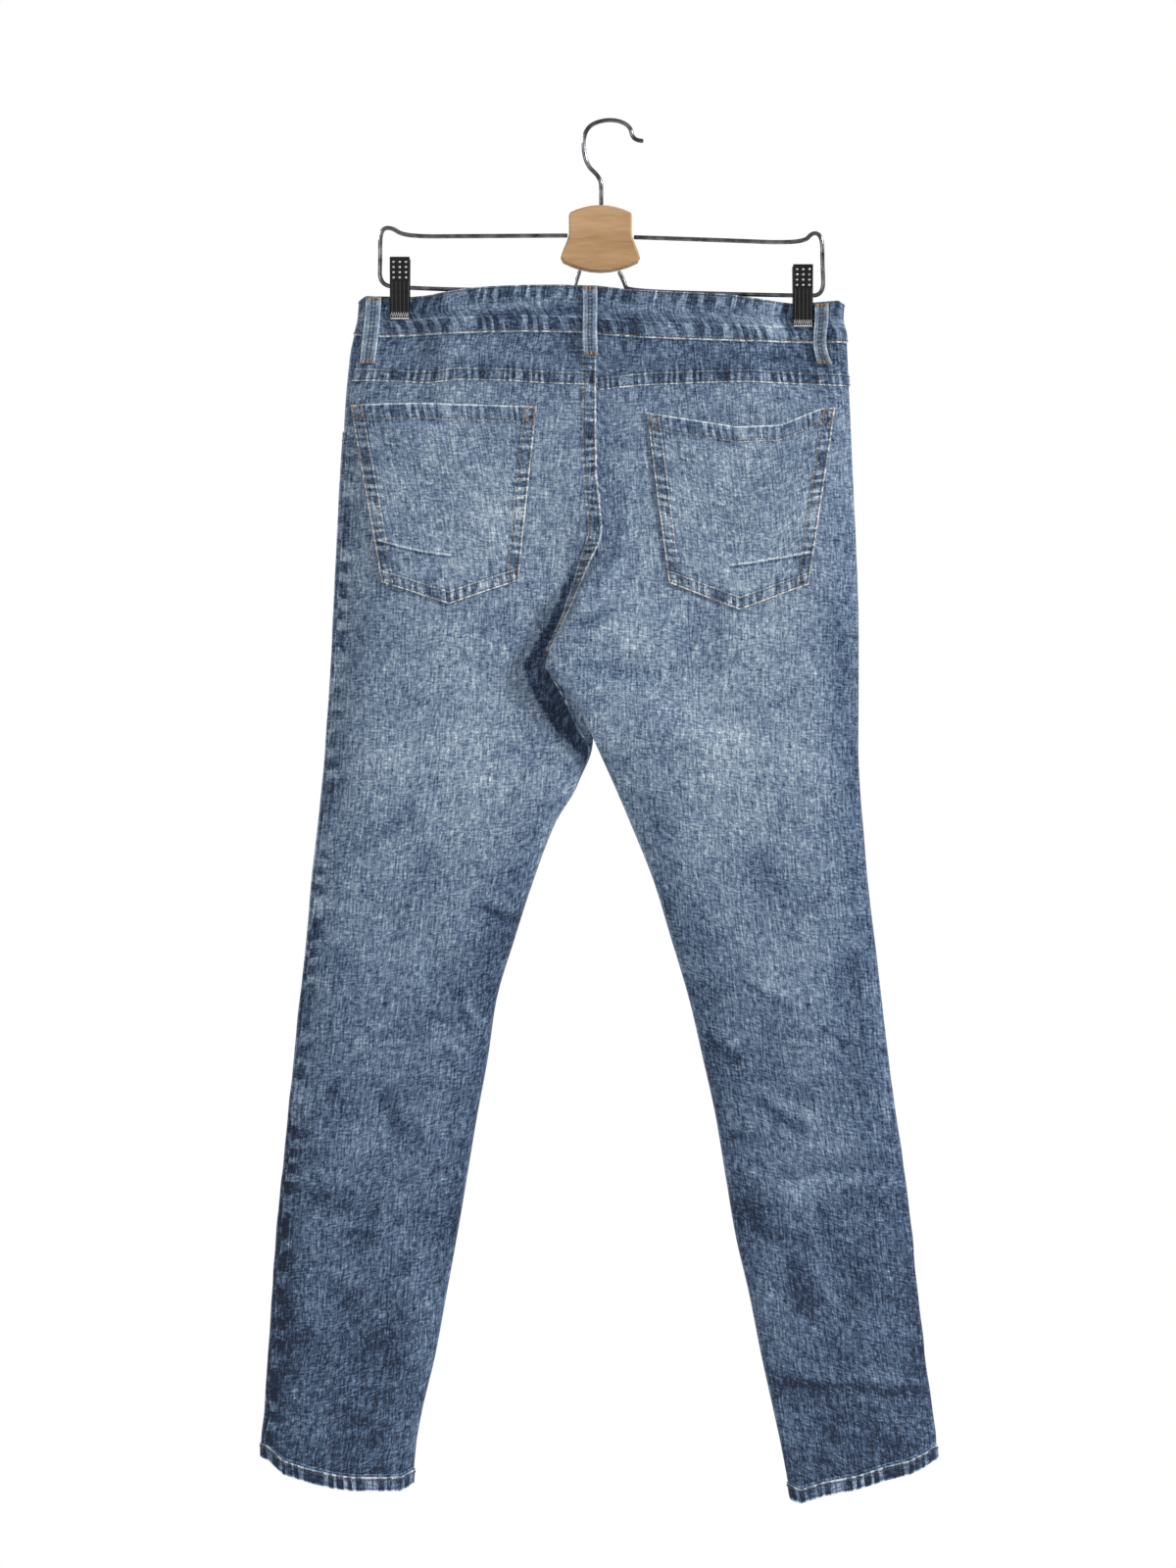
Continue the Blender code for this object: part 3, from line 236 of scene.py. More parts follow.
LEGS = table_of(
    Leg,
    (-579, -250.3, -26.7, 6.0, 221.0, 15.5, 13.5),
    (-613, -253.7, -46.4, 20.6, 223.6, 15.0, 13.5),
    (-665, -259.7, -66.2, 41.3, 227.9, 14.5, 13.0),
    (-716, -264.0, -82.6, 56.8, 233.9, 14.0, 12.5),
    (-768, -270.0, -98.0, 72.2, 239.9, 13.5, 12.0),
    (-820, -275.2, -105.8, 84.3, 246.0, 13.0, 12.0),
    (-871, -280.4, -115.2, 95.5, 252.8, 12.5, 11.5),
    (-923, -285.5, -123.8, 104.1, 260.6, 12.0, 11.0),
    (-974, -290.7, -132.4, 112.7, 266.6, 11.5, 11.0),
    (-1026, -294.1, -141.9, 124.7, 271.8, 11.0, 10.5),
    (-1078, -297.6, -151.4, 135.0, 277.8, 10.5, 10.0),
    (-1129, -301.0, -163.4, 146.2, 284.7, 10.0, 9.5),
    (-1158, -303.6, -168.5, 152.5, 288.0, 9.5, 9.0),
    (-1215, -301.5, -173.0, 163.0, 293.0, 9.0, 9.0),
)
SEAT_SEAM = table_of(
    SeamPoint,
    (-130, -12.0, -9.0), (-171, -11.0, -10.5), (-199, -10.3, -12.5),
    (-247, -10.3, -16.0), (-304, -9.5, -18.0), (-357, -5.2, -20.0),
    (-388, -16.3, -21.5), (-434, -36.1, -24.0), (-472, -53.3, -25.0),
    (-478, -54.5, -25.0),
)
FRONT_RISE = table_of(
    SeamPoint,
    (-130, -7.0, 9.0), (-171, -7.0, 9.5), (-199, -7.0, 11.0),
    (-247, -7.0, 13.0), (-304, -7.0, 14.0), (-357, -7.5, 14.0),
    (-388, -8.0, 13.5), (-410, -9.3, 9.0), (-434, -14.0, -1.0),
    (-456, -32.0, -13.0), (-472, -47.0, -17.5), (-478, -49.0, -18.0),
)
RIGHT_INSEAM = table_of(
    SeamPoint,
    (-478, -52.0, -24.5), (-484, -48.0, -24.3), (-500, -34.0, -23.0),
    (-530, -16.3, -17.0), (-548, -8.0, -12.0), (-579, 6.0, -4.0),
)
LEFT_INSEAM = table_of(
    SeamPoint,
    (-478, -52.0, -15.0), (-484, -50.0, -13.5), (-500, -41.0, -11.7),
    (-530, -27.0, -9.2), (-548, -17.5, -5.0), (-579, -26.7, -1.0),
)
BACK_RIGHT_END = table_of(
    InnerEnd,
    (-304, 6.0, 0.0, 12.0, -18.0, 42.0, -18.0),
    (-357, 6.0, -0.3, 9.0, -20.5, 38.0, -19.5),
    (-388, 3.0, -2.4, -10.0, -27.0, 22.0, -24.0),
    (-410, 1.5, -3.6, -24.0, -32.0, 15.0, -27.0),
    (-434, 0.3, -4.0, -34.5, -33.5, 8.0, -29.0),
    (-472, -0.6, -4.0, -51.5, -36.0, -8.0, -32.0),
    (-484, -1.2, -4.0, -46.5, -35.5, -6.0, -32.0),
    (-500, -0.4, -4.0, -34.0, -34.0, 4.0, -31.0),
    (-530, 0.0, -4.0, -16.3, -28.0, 18.0, -27.0),
    (-548, 0.0, -4.0, -8.0, -23.0, 25.0, -24.0),
    (-579, 0.0, -3.5, 6.5, -13.5, 38.0, -18.0),
)
BACK_LEFT_END = table_of(
    InnerEnd,
    (-304, -6.0, 0.0, -24.0, -18.0, -52.0, -17.5),
    (-357, -6.0, 0.3, -16.0, -19.5, -42.0, -16.0),
    (-388, -3.0, 2.4, -23.0, -14.0, -46.0, -13.0),
    (-410, -1.5, 3.6, -30.0, -12.5, -54.0, -12.0),
    (-434, -0.3, 4.0, -39.5, -12.0, -66.0, -11.5),
    (-472, -0.3, 4.0, -57.0, -12.0, -84.0, -11.5),
    (-484, -6.0, 0.5, -64.0, -12.0, -88.0, -12.0),
    (-500, -6.0, -0.1, -60.0, -12.0, -85.0, -12.5),
    (-530, -6.0, -0.6, -45.0, -11.5, -72.0, -12.5),
    (-548, -3.0, -2.0, -34.0, -11.0, -64.0, -12.5),
    (-579, 0.0, -3.5, -28.0, -9.5, -58.0, -13.5),
)
FRONT_LEFT_END = table_of(
    InnerEnd,
    (-304, -6.0, 0.0, -28.0, 14.0, -60.0, 14.0),
    (-357, -6.0, 0.0, -28.0, 14.0, -60.0, 14.0),
    (-388, -4.5, 1.5, -22.0, 14.6, -58.0, 14.0),
    (-410, -1.6, 2.8, -15.0, 15.0, -50.0, 14.2),
    (-434, -1.2, 4.0, -10.5, 9.5, -34.0, 15.0),
    (-456, -0.4, 4.0, -10.0, -2.0, -18.0, 15.0),
    (-472, -0.6, 4.0, -10.0, -8.5, -13.5, 15.0),
    (-484, 6.0, -0.5, -10.5, -12.0, -13.0, 15.0),
    (-500, 6.0, 0.1, -11.0, -12.5, -13.0, 15.0),
    (-530, 5.0, 0.5, -12.0, -9.5, -13.5, 14.0),
    (-548, 1.8, 1.2, -13.8, 1.0, -15.0, 12.0),
    (-579, 0.0, 3.5, -28.0, 9.0, -48.0, 11.5),
)
FRONT_RIGHT_END = table_of(
    InnerEnd,
    (-304, 6.0, 0.0, 14.0, 14.0, 46.0, 14.0),
    (-357, 6.0, 0.0, 14.0, 14.0, 46.0, 14.0),
    (-388, 4.5, -1.5, 11.0, 11.0, 46.0, 14.0),
    (-410, 1.6, -2.8, 4.0, 4.5, 40.0, 12.0),
    (-434, 1.2, -4.0, 3.0, -7.0, 32.0, 5.0),
    (-456, 0.0, -4.0, -12.0, -18.0, 20.0, -7.0),
    (-472, 2.0, -3.4, -34.0, -22.0, 4.0, -16.0),
    (-484, 3.2, 2.4, -36.0, -20.0, 6.0, -15.0),
    (-500, 0.0, 4.0, -28.0, -16.8, 12.0, -12.5),
    (-530, 0.0, 4.0, -13.0, -9.5, 26.0, 2.0),
    (-548, 0.0, 4.0, -5.0, -3.0, 32.0, 7.0),
    (-579, 0.0, 3.5, 9.0, 6.5, 40.0, 11.5),
)
WAIST_TOP = table_of(
    Mark,
    (-218, -156.0), (-212, -151.0), (-172, -151.6), (-155, -150.5), (-141, -147.7),
    (-126, -145.1), (-103, -143.1), (-72, -141.9), (-41, -141.7), (-10, -142.6),
    (18, -145.7), (59, -147.7), (106, -150.0), (136, -154.6), (162, -157.4),
    (181, -156.5), (202, -155.0), (208, -159.0),
)
WAIST_SEAM = table_of(
    Mark,
    (-222, -184.5), (-200, -186.0), (-172, -185.0), (-133, -183.8), (-103, -182.7),
    (-72, -182.3), (-26, -183.0), (-8, -184.5), (29, -187.5), (75, -189.2),
    (121, -190.7), (210, -191.2),
)
YOKE_SEAM = table_of(
    Mark,
    (-228, -224.5), (-195, -225.3), (-156, -227.5), (-133, -224.5), (-87, -225.3),
    (-57, -227.5), (-10, -229.0), (-8, -233.6), (29, -229.6), (75, -227.5),
    (121, -226.2), (167, -228.3), (212, -229.6),
)
LEFT_HEM = table_of(
    Mark,
    (-305, -1168.5), (-297, -1171.5), (-284, -1183.4), (-263, -1190.2), (-242, -1195.4),
    (-222, -1198.0), (-181, -1198.0), (-171, -1192.0),
)
RIGHT_HEM = table_of(
    Mark,
    (158, -1203.0), (163, -1206.6), (169, -1209.2), (189, -1202.3), (217, -1197.1),
    (244, -1188.5), (265, -1183.4), (279, -1176.5), (284, -1172.5), (293, -1168.5),
)
LEFT_POCKET_MOUTH = table_of(Mark, (-224.0, -246.8), (-150.0, -246.2), (-61.9, -249.0))
RIGHT_POCKET_MOUTH = table_of(
    Mark,
    (34.2, -254.4), (70.0, -260.0), (113.3, -266.6), (151.7, -265.0), (173.0, -256.0),
    (187.0, -250.6), (198.6, -249.8),
)

BACK_CREASES = table_of(
    Crease,
    (-30, -432, 60, -455, 16, 2.6), (-10, -478, 95, -470, 18, -2.4),
    (20, -500, 90, -560, 22, 2.2), (-215, -300, -130, -350, 22, -1.8),
    (-72, -672, -150, -712, 20, 2.6), (-95, -752, -160, -735, 20, -3.0),
    (-98, -790, -180, -830, 24, 2.6), (118, -740, 190, -800, 24, 2.6),
    (96, -800, 150, -838, 20, -2.6), (120, -905, 225, -885, 24, 2.4),
    (130, -985, 262, -960, 26, -2.6), (148, -1050, 255, -1095, 24, 2.6),
    (-280, -960, -175, -1000, 26, 2.0), (-285, -1075, -180, -1060, 24, -2.2),
)
BACK_DETAIL = table_of(
    Crease,
    (-34, -443, 10, -428, 3.2, -1.5, 2, 0.5), (-38, -455, -6, -448, 3.4, 1.1, 1, 0.4),
    (-12, -470, 60, -484, 6.0, -1.0, 3), (8, -452, 74, -470, 7.0, 0.9, 4),
    (16, -322, -10, -408, 6.0, 1.2, -7), (26, -340, 2, -418, 6.5, -1.0, -6),
    (-78, -700, -110, -716, 3.6, 1.3, 1, 0.6), (-92, -712, -136, -702, 5.0, -1.0, 2),
    (-98, -778, -132, -812, 4.0, 1.4, 2, 0.6), (-118, -800, -150, -830, 5.5, -1.1),
    (-104, -762, -150, -786, 6.0, 0.9, 2), (102, -758, 150, -776, 4.6, 1.3, -3, 0.5),
    (78, -802, 122, -826, 4.2, 1.2, 2, 0.6), (96, -836, 150, -820, 5.2, -1.0, 3),
    (110, -872, 168, -880, 6.0, 0.9, 4), (104, -905, 196, -948, 8.0, 1.3, 8, 0.5),
    (126, -930, 232, -915, 7.0, -1.1, -6), (112, -968, 206, -1012, 8.5, 1.3, 8, 0.4),
    (150, -1000, 252, -985, 7.0, -1.0, 5), (136, -1032, 196, -1060, 7.0, 1.1, 5),
    (176, -1080, 262, -1062, 7.0, 1.0, -5, 0.4), (150, -1108, 214, -1130, 6.0, -0.9, 3),
    (206, -1146, 276, -1128, 5.5, 1.0, -4), (220, -1018, 270, -1050, 6.0, 1.0, 3),
    (224, -1090, 276, -1106, 5.0, 0.9, 2), (-280, -905, -206, -948, 9.0, 0.9, 6),
    (-284, -1010, -220, -1040, 9.0, -0.8, -5), (-170, -918, -232, -930, 8.0, 0.8, 4),
    (-164, -1010, -226, -1002, 8.0, 0.8, -5), (-290, -1106, -236, -1122, 7.5, 0.9, 3),
    (-186, -1126, -248, -1142, 7.0, -0.8, -3), (-262, -1150, -214, -1170, 6.0, 0.8, 2),
    (-120, -868, -176, -880, 9.0, 0.8, -4), (-200, -640, -140, -700, 14.0, 0.8, 5),
    (-190, -262, -110, -310, 10.0, 1.0, 5), (-160, -280, -84, -352, 11.0, -0.9, 6),
    (-150, -332, -90, -372, 9.0, 0.8, -4), (70, -300, 150, -352, 12.0, 0.8, 6),
    (94, -358, 160, -388, 10.0, -0.7, -4), (160, -470, 214, -540, 12.0, 0.7, 5),
    (60, -600, 120, -700, 14.0, 0.7, -8), (-230, -500, -170, -600, 15.0, 0.7, 8),
)
FRONT_CREASES = table_of(
    Crease,
    (-30, -440, -110, -480, 20, 2.6), (10, -455, 100, -490, 22, 2.4),
    (-95, -730, -200, -700, 26, 3.0), (-100, -790, -230, -775, 26, -3.0),
    (90, -760, 200, -725, 26, 3.0), (100, -830, 215, -800, 26, -3.0),
    (-270, -985, -160, -1010, 28, 2.4), (140, -1010, 250, -980, 28, 2.4),
)
FRONT_DETAIL = table_of(
    Crease,
    (-20, -400, -100, -380, 9, 1.6, 6, 0.5), (-22, -424, -130, -436, 10, -1.4, 7),
    (-30, -455, -140, -505, 10, 1.5, -8, 0.4), (6, -404, 92, -384, 9, 1.5, -6, 0.5),
    (10, -432, 110, -446, 10, -1.3, 6), (12, -470, 120, -530, 11, 1.4, 8, 0.4),
    (-60, -600, -110, -680, 14, 1.0, 6), (40, -610, 96, -690, 14, 1.0, -6),
    (-110, -850, -210, -836, 9, 1.2, 5), (-120, -880, -190, -900, 8, -1.1, -4),
    (110, -868, 214, -850, 9, 1.2, -5), (120, -905, 200, -918, 8, -1.0, 4),
    (-280, -930, -200, -960, 9, 1.0, 5), (-278, -1050, -190, -1030, 9, 1.1, -5),
    (-290, -1100, -210, -1130, 8, -1.0, 4), (140, -1050, 250, -1080, 9, 1.2, 6),
    (160, -1110, 262, -1095, 8, -1.0, -4), (150, -960, 236, -948, 8, 1.0, 4),
    (-200, -310, -130, -300, 10, 0.9, 4), (180, -320, 112, -306, 10, 0.9, -4),
)
POCKET_CREASES = {
    Side.LEFT: table_of(
        Crease,
        (-166, -262, -92, -318, 5.0, 1.0, 4, 0.5), (-186, -286, -120, -334, 6.0, -0.8, 5),
        (-140, -308, -82, -352, 5.0, 0.9, 3, 0.4), (-196, -312, -150, -346, 6.0, 0.7, 3),
        (-184, -360, -128, -394, 6.0, -0.7, 3), (-110, -352, -80, -384, 5.0, 0.7, 2),
    ),
    Side.RIGHT: table_of(
        Crease,
        (60, -282, 132, -302, 7.0, 0.9, 5, 0.4), (80, -312, 160, -330, 8.0, -0.8, 5),
        (66, -350, 128, -362, 7.0, 0.8, 4), (120, -284, 184, -276, 6.0, 0.8, -4),
        (76, -386, 124, -400, 6.0, 0.6, 2), (140, -346, 176, -330, 6.0, -0.7, 3),
    ),
}
BAND_CREASES = table_of(
    Crease,
    (-150, -162, -60, -158, 3.4, 0.9, 2, 0.4), (-110, -170, -20, -166, 3.2, -0.8, -2),
    (-170, -172, -120, -170, 3.0, 0.7, 1), (-70, -163, -24, -170, 3.0, 0.8, 1, 0.4),
    (4, -166, 70, -163, 3.2, 0.8, -2, 0.4), (16, -173, 110, -172, 3.2, -0.8, 2),
    (60, -169, 140, -172, 3.2, 0.8, 2), (110, -178, 160, -175, 3.0, 0.6, 1),
    (-212, -166, -196, -172, 3.0, 0.6), (186, -170, 204, -176, 3.0, 0.7),
)
YOKE_CREASES = table_of(
    Crease,
    (-170, -196, -60, -206, 4.0, 0.8, 3, 0.3), (-120, -206, -30, -198, 4.0, -0.7, 2),
    (10, -200, 110, -208, 4.0, 0.8, 3, 0.3), (60, -212, 190, -206, 4.5, -0.7, -3),
    (-26, -192, -10, -212, 4.0, 1.0), (2, -192, 16, -214, 4.0, 0.9),
)

# Dark and pale streaks along the back's creases: painted crease shade and light, put into the tone only.
BACK_CREASE_SHADING = table_of(
    Crease,
    (-112, -684, -77, -700, 4.0, -0.20, 1), (-104, -676, -74, -690, 4.5, 0.10, 1),
    (-131, -758, -120, -794, 4.5, -0.20, 2), (-122, -760, -112, -790, 4.0, 0.12, 2),
    (-158, -779, -132, -788, 4.0, -0.15, 1), (-240, -842, -221, -874, 7.0, -0.15, 3),
    (-198, -850, -170, -890, 8.0, -0.14, 3), (-232, -860, -206, -892, 7.0, 0.07, 3),
    (-232, -974, -192, -982, 6.0, -0.14, -3), (-250, -1000, -200, -1012, 7.0, 0.08, 3),
    (-286, -1030, -262, -1074, 9.0, -0.12, 2), (-197, -1058, -181, -1094, 9.0, -0.12, 2),
    (-246, -1110, -214, -1140, 8.0, -0.10, 2), (-260, -930, -226, -950, 9.0, -0.10, 2),
    (124, -754, 158, -774, 3.6, -0.22, 2), (122, -744, 160, -764, 4.5, 0.12, 2),
    (156, -774, 176, -777, 3.0, -0.14), (178, -786, 212, -808, 4.0, -0.15, 1),
    (86, -800, 119, -822, 4.5, -0.22, 2), (96, -792, 126, -812, 5.0, 0.12, 2),
    (128, -850, 178, -884, 5.0, -0.20, 4), (140, -846, 186, -872, 5.5, 0.12, 3),
    (110, -884, 136, -892, 5.0, -0.13, 1), (156, -930, 226, -927, 6.0, 0.12, -3),
    (124, -940, 148, -984, 7.0, -0.18, 3), (148, -972, 180, -982, 6.0, -0.18, -2),
    (160, -1000, 185, -1046, 11.0, -0.16, 3), (209, -992, 256, -1038, 12.0, -0.13, 4),
    (186, -996, 204, -1040, 8.0, 0.09, 2), (143, -1099, 194, -1106, 4.5, -0.20, 2),
    (209, -1103, 279, -1111, 5.0, -0.18, 2), (206, -1094, 276, -1100, 5.0, 0.10, 2),
    (150, -1082, 200, -1092, 6.0, 0.09, 2), (224, -1130, 258, -1162, 9.0, -0.12, 2),
    (-33, -441, 2, -428, 3.2, -0.20, 1), (-38, -453, -14, -455, 3.2, -0.14),
    (-26, -450, 12, -438, 4.0, 0.09, 1), (-20, -472, 54, -486, 7.0, -0.09, 3),
    (14, -320, -10, -406, 5.0, -0.12, -7), (24, -330, 2, -410, 6.0, 0.08, -7),
    (70, -516, 130, -540, 8.0, 0.06, 3), (-230, -640, -170, -600, 12.0, -0.06, 4),
    (120, -640, 190, -690, 12.0, -0.08, 5), (60, -640, 110, -700, 10.0, 0.06, 5),
)
PATCHES = table_of(
    Patch,
    (-110, -345, 55, 70, 0.05), (-60, -430, 60, 60, 0.02), (95, -330, 60, 75, 0.03),
    (130, -440, 70, 50, 0.05), (-120, -560, 60, 90, 0.06), (-125, -580, 34, 44, 0.05),
    (115, -560, 60, 90, 0.07), (120, -575, 36, 46, 0.05), (-60, -480, 40, 60, -0.05),
    (170, -720, 50, 110, 0.05), (-190, -700, 60, 110, 0.03), (185, -900, 45, 120, 0.04),
    (-220, -900, 40, 130, 0.03), (215, -1060, 40, 60, -0.03), (-195, -420, 40, 90, -0.04),
    (130, -470, 60, 60, -0.03), (120, -208, 90, 14, -0.13), (14, -205, 12, 22, -0.16),
    (-28, -202, 9, 20, -0.16),
    (206, -440, 16, 150, -0.13), (222, -640, 20, 240, -0.16), (-238, -560, 16, 260, -0.05),
    (-285, -1000, 16, 220, -0.12), (268, -1000, 16, 220, -0.10), (160, -1120, 40, 50, -0.02),
    (-72, -700, 22, 90, -0.15), (-104, -830, 16, 120, -0.12), (-130, -980, 14, 140, -0.10),
    (48, -660, 20, 90, -0.12), (88, -820, 18, 120, -0.12), (118, -980, 14, 140, -0.08),
    (0, -330, 28, 80, -0.12), (-84, -690, 22, 60, -0.06), (-110, -166, 80, 14, -0.08),
    (-225, -980, 50, 110, -0.05),
    (-100, -760, 30, 80, -0.06), (-182, -158, 22, 24, -0.10), (171, -164, 22, 24, -0.10),
    (24, -168, 16, 16, -0.12), (-40, -166, 16, 14, -0.08),
)
TONES = table_of(
    Fade,
    (-140, 0.37), (-190, 0.38), (-214, 0.40), (-232, 0.47), (-270, 0.50), (-330, 0.55),
    (-430, 0.52), (-560, 0.50), (-640, 0.46), (-730, 0.40), (-830, 0.35), (-940, 0.31),
    (-1060, 0.26), (-1140, 0.22), (-1210, 0.19),
)
# Edge of the painted shadow that the right leg's fold casts on the left leg.
FORK_SHADE = table_of(
    Mark,
    (-30, -370), (-36, -402), (-51, -436), (-74, -473), (-69, -492), (-57, -515),
    (-42, -536), (-22, -556),
)
FORK_SHADE_REACH = 46.0
FORK_SHADE_TOP = -380.0
FORK_SHADE_FOOT = -566.0


def column(table: Sequence[Any], name: str) -> Array:
    """One named column of a table."""
    return np.array([getattr(row, name) for row in table], dtype=float)


def seam_rows(seam: Sequence[SeamPoint]) -> Array:
    """The x and y columns of a seam table."""
    return np.stack([column(seam, "x"), column(seam, "y")], axis=-1)


def mix(a: Any, b: Any, share: Any) -> Any:
    """Straight mix: a plus share of the way from a to b."""
    return a + (b - a) * share


def ease(t: Any) -> Array:
    """Smooth step: 3 t squared less 2 t cubed, with t held in 0..1."""
    t = np.clip(t, 0, 1)
    return t * t * (3 - 2 * t)


def line_height(marks: Sequence[Mark], x: Any) -> Array:
    """Height of an edge line at x."""
    return np.interp(x, [mark.x for mark in marks], [mark.z for mark in marks])


def front_waist(marks: Sequence[Mark], x: Any) -> Array:
    """A back waist line brought round to the front: it drops by a smooth step towards the middle."""
    middle = (LEFT_CLIP_X + RIGHT_CLIP_X) / 2
    reach = (RIGHT_CLIP_X - LEFT_CLIP_X) / 2
    return line_height(marks, x) - FRONT_DIP * (1 - ease(np.abs(x - middle) / reach))


def smooth(query: Any, knots: Array, values: Array) -> Array:
    """Monotone cubic through rows of values, by depth below the hook.

    Args:
        query: heights wanted.
        knots: heights of the rows, falling.
        values: one row of values for each height.

    Returns:
        A row of values for each height wanted: Hermite cubics whose slopes are harmonic means.
    """
    where = -np.asarray(query, dtype=float)
    at = -np.asarray(knots, dtype=float)
    rows = np.asarray(values, dtype=float)
    step = np.diff(at)
    slope = np.diff(rows, axis=0) / step.reshape((-1,) + (1,) * (rows.ndim - 1))
    tangent = np.zeros_like(rows)
    product = slope[:-1] * slope[1:]
    total = slope[:-1] + slope[1:]
    tangent[1:-1] = np.where(product > 0, 2 * product / np.where(total == 0, 1, total), 0)
    tangent[0] = slope[0]
    tangent[-1] = slope[-1]
    low = np.clip(np.searchsorted(at, where, side="right") - 1, 0, len(at) - 2)
    extra = (1,) * (rows.ndim - 1)
    width = step[low].reshape(where.shape + extra)
    t = np.clip((where - at[low]) / step[low], 0, 1).reshape(where.shape + extra)
    return (
        (2 * t**3 - 3 * t**2 + 1) * rows[low] + (t**3 - 2 * t**2 + t) * width * tangent[low]
        + (3 * t**2 - 2 * t**3) * rows[low + 1] + (t**3 - t**2) * width * tangent[low + 1]
    )


def relief(creases: Sequence[Crease], x: Array, z: Array) -> Array:
    """Summed creases in millimetres.

    Each is height * (1 - lean * s) * exp(-s squared), where s is the distance across its bowed line over its
    width, times a window that rises from 0 before one end of the line and falls past the other.
    """
    total = np.zeros_like(x)
    for crease in creases:
        run_x, run_z = crease.x1 - crease.x0, crease.z1 - crease.z0
        length = math.hypot(run_x, run_z)
        along = ((x - crease.x0) * run_x + (z - crease.z0) * run_z) / length**2
        across = ((x - crease.x0) * run_z - (z - crease.z0) * run_x) / length
        inside = np.clip(along, 0, 1)
        s = (across - crease.bow * 4 * inside * (1 - inside)) / crease.width
        window = ease(along * 3 + 0.5) * ease(3.5 - along * 3)
        total += crease.height * (1 - crease.lean * s) * np.exp(-s * s) * window
    return total


def ripple(x: Array, z: Array) -> Array:
    """Low uneven waviness of worn cloth: a sum of slanted sine waves of unlike lengths."""
    waves = ((0.061, 0.043, 0.4), (-0.048, 0.082, 1.7), (0.093, -0.036, 2.9), (0.021, 0.117, 0.8),
             (0.137, 0.071, 4.1), (-0.110, 0.128, 5.2))
    total = np.zeros_like(x)
    for wave_x, wave_z, phase in waves:
        swell = 0.5 + 0.5 * np.sin(0.013 * x * (1 + phase) - 0.011 * z + phase)
        total += np.sin(wave_x * x + wave_z * z + phase) * swell
    return 0.16 * total


def pinch(x: Array, y: Array, z: Array) -> Array:
    """Depth y pressed towards the hanger's plane under the two clips, fading out below the waistband."""
    pressed = y
    for clip_x in (LEFT_CLIP_X, RIGHT_CLIP_X):
        free = ease((np.abs(x - clip_x) - PINCH_HALF) / (PINCH_REACH - PINCH_HALF))
        free = 1 - (1 - free) * ease((z - PINCH_FOOT) / PINCH_FADE)
        held = np.sign(y) * mix(PINCH_Y, np.abs(pressed), free)
        pressed = np.where(np.abs(pressed) > PINCH_Y, held, pressed)
    return pressed


def fork_shade(x: Array, z: Array) -> Array:
    """Mask of the painted shadow on the left leg under the right leg's fold: 1 from the drawn edge to the
    fold, 0 elsewhere.
    """
    heights = column(FORK_SHADE, "z")[::-1]
    edge = np.interp(z, heights, column(FORK_SHADE, "x")[::-1])
    across = ease((x - edge + 1) / 3) * ease((edge + FORK_SHADE_REACH + 20 - x) / 20)
    return across * ease((FORK_SHADE_TOP - z) / 24) * ease((z - FORK_SHADE_FOOT) / 14)


def tone_of(points: Array) -> Array:
    """Fade of the denim at points, 0 dark to 1 pale: a value by height plus soft ovals."""
    x, z = points[..., 0], points[..., 2]
    total = np.interp(z, column(TONES, "z")[::-1], column(TONES, "tone")[::-1])
    for patch in PATCHES:
        spot = ((x - patch.x) / patch.reach_x) ** 2 + ((z - patch.z) / patch.reach_z) ** 2
        total += patch.tone * np.exp(-spot)
    return total


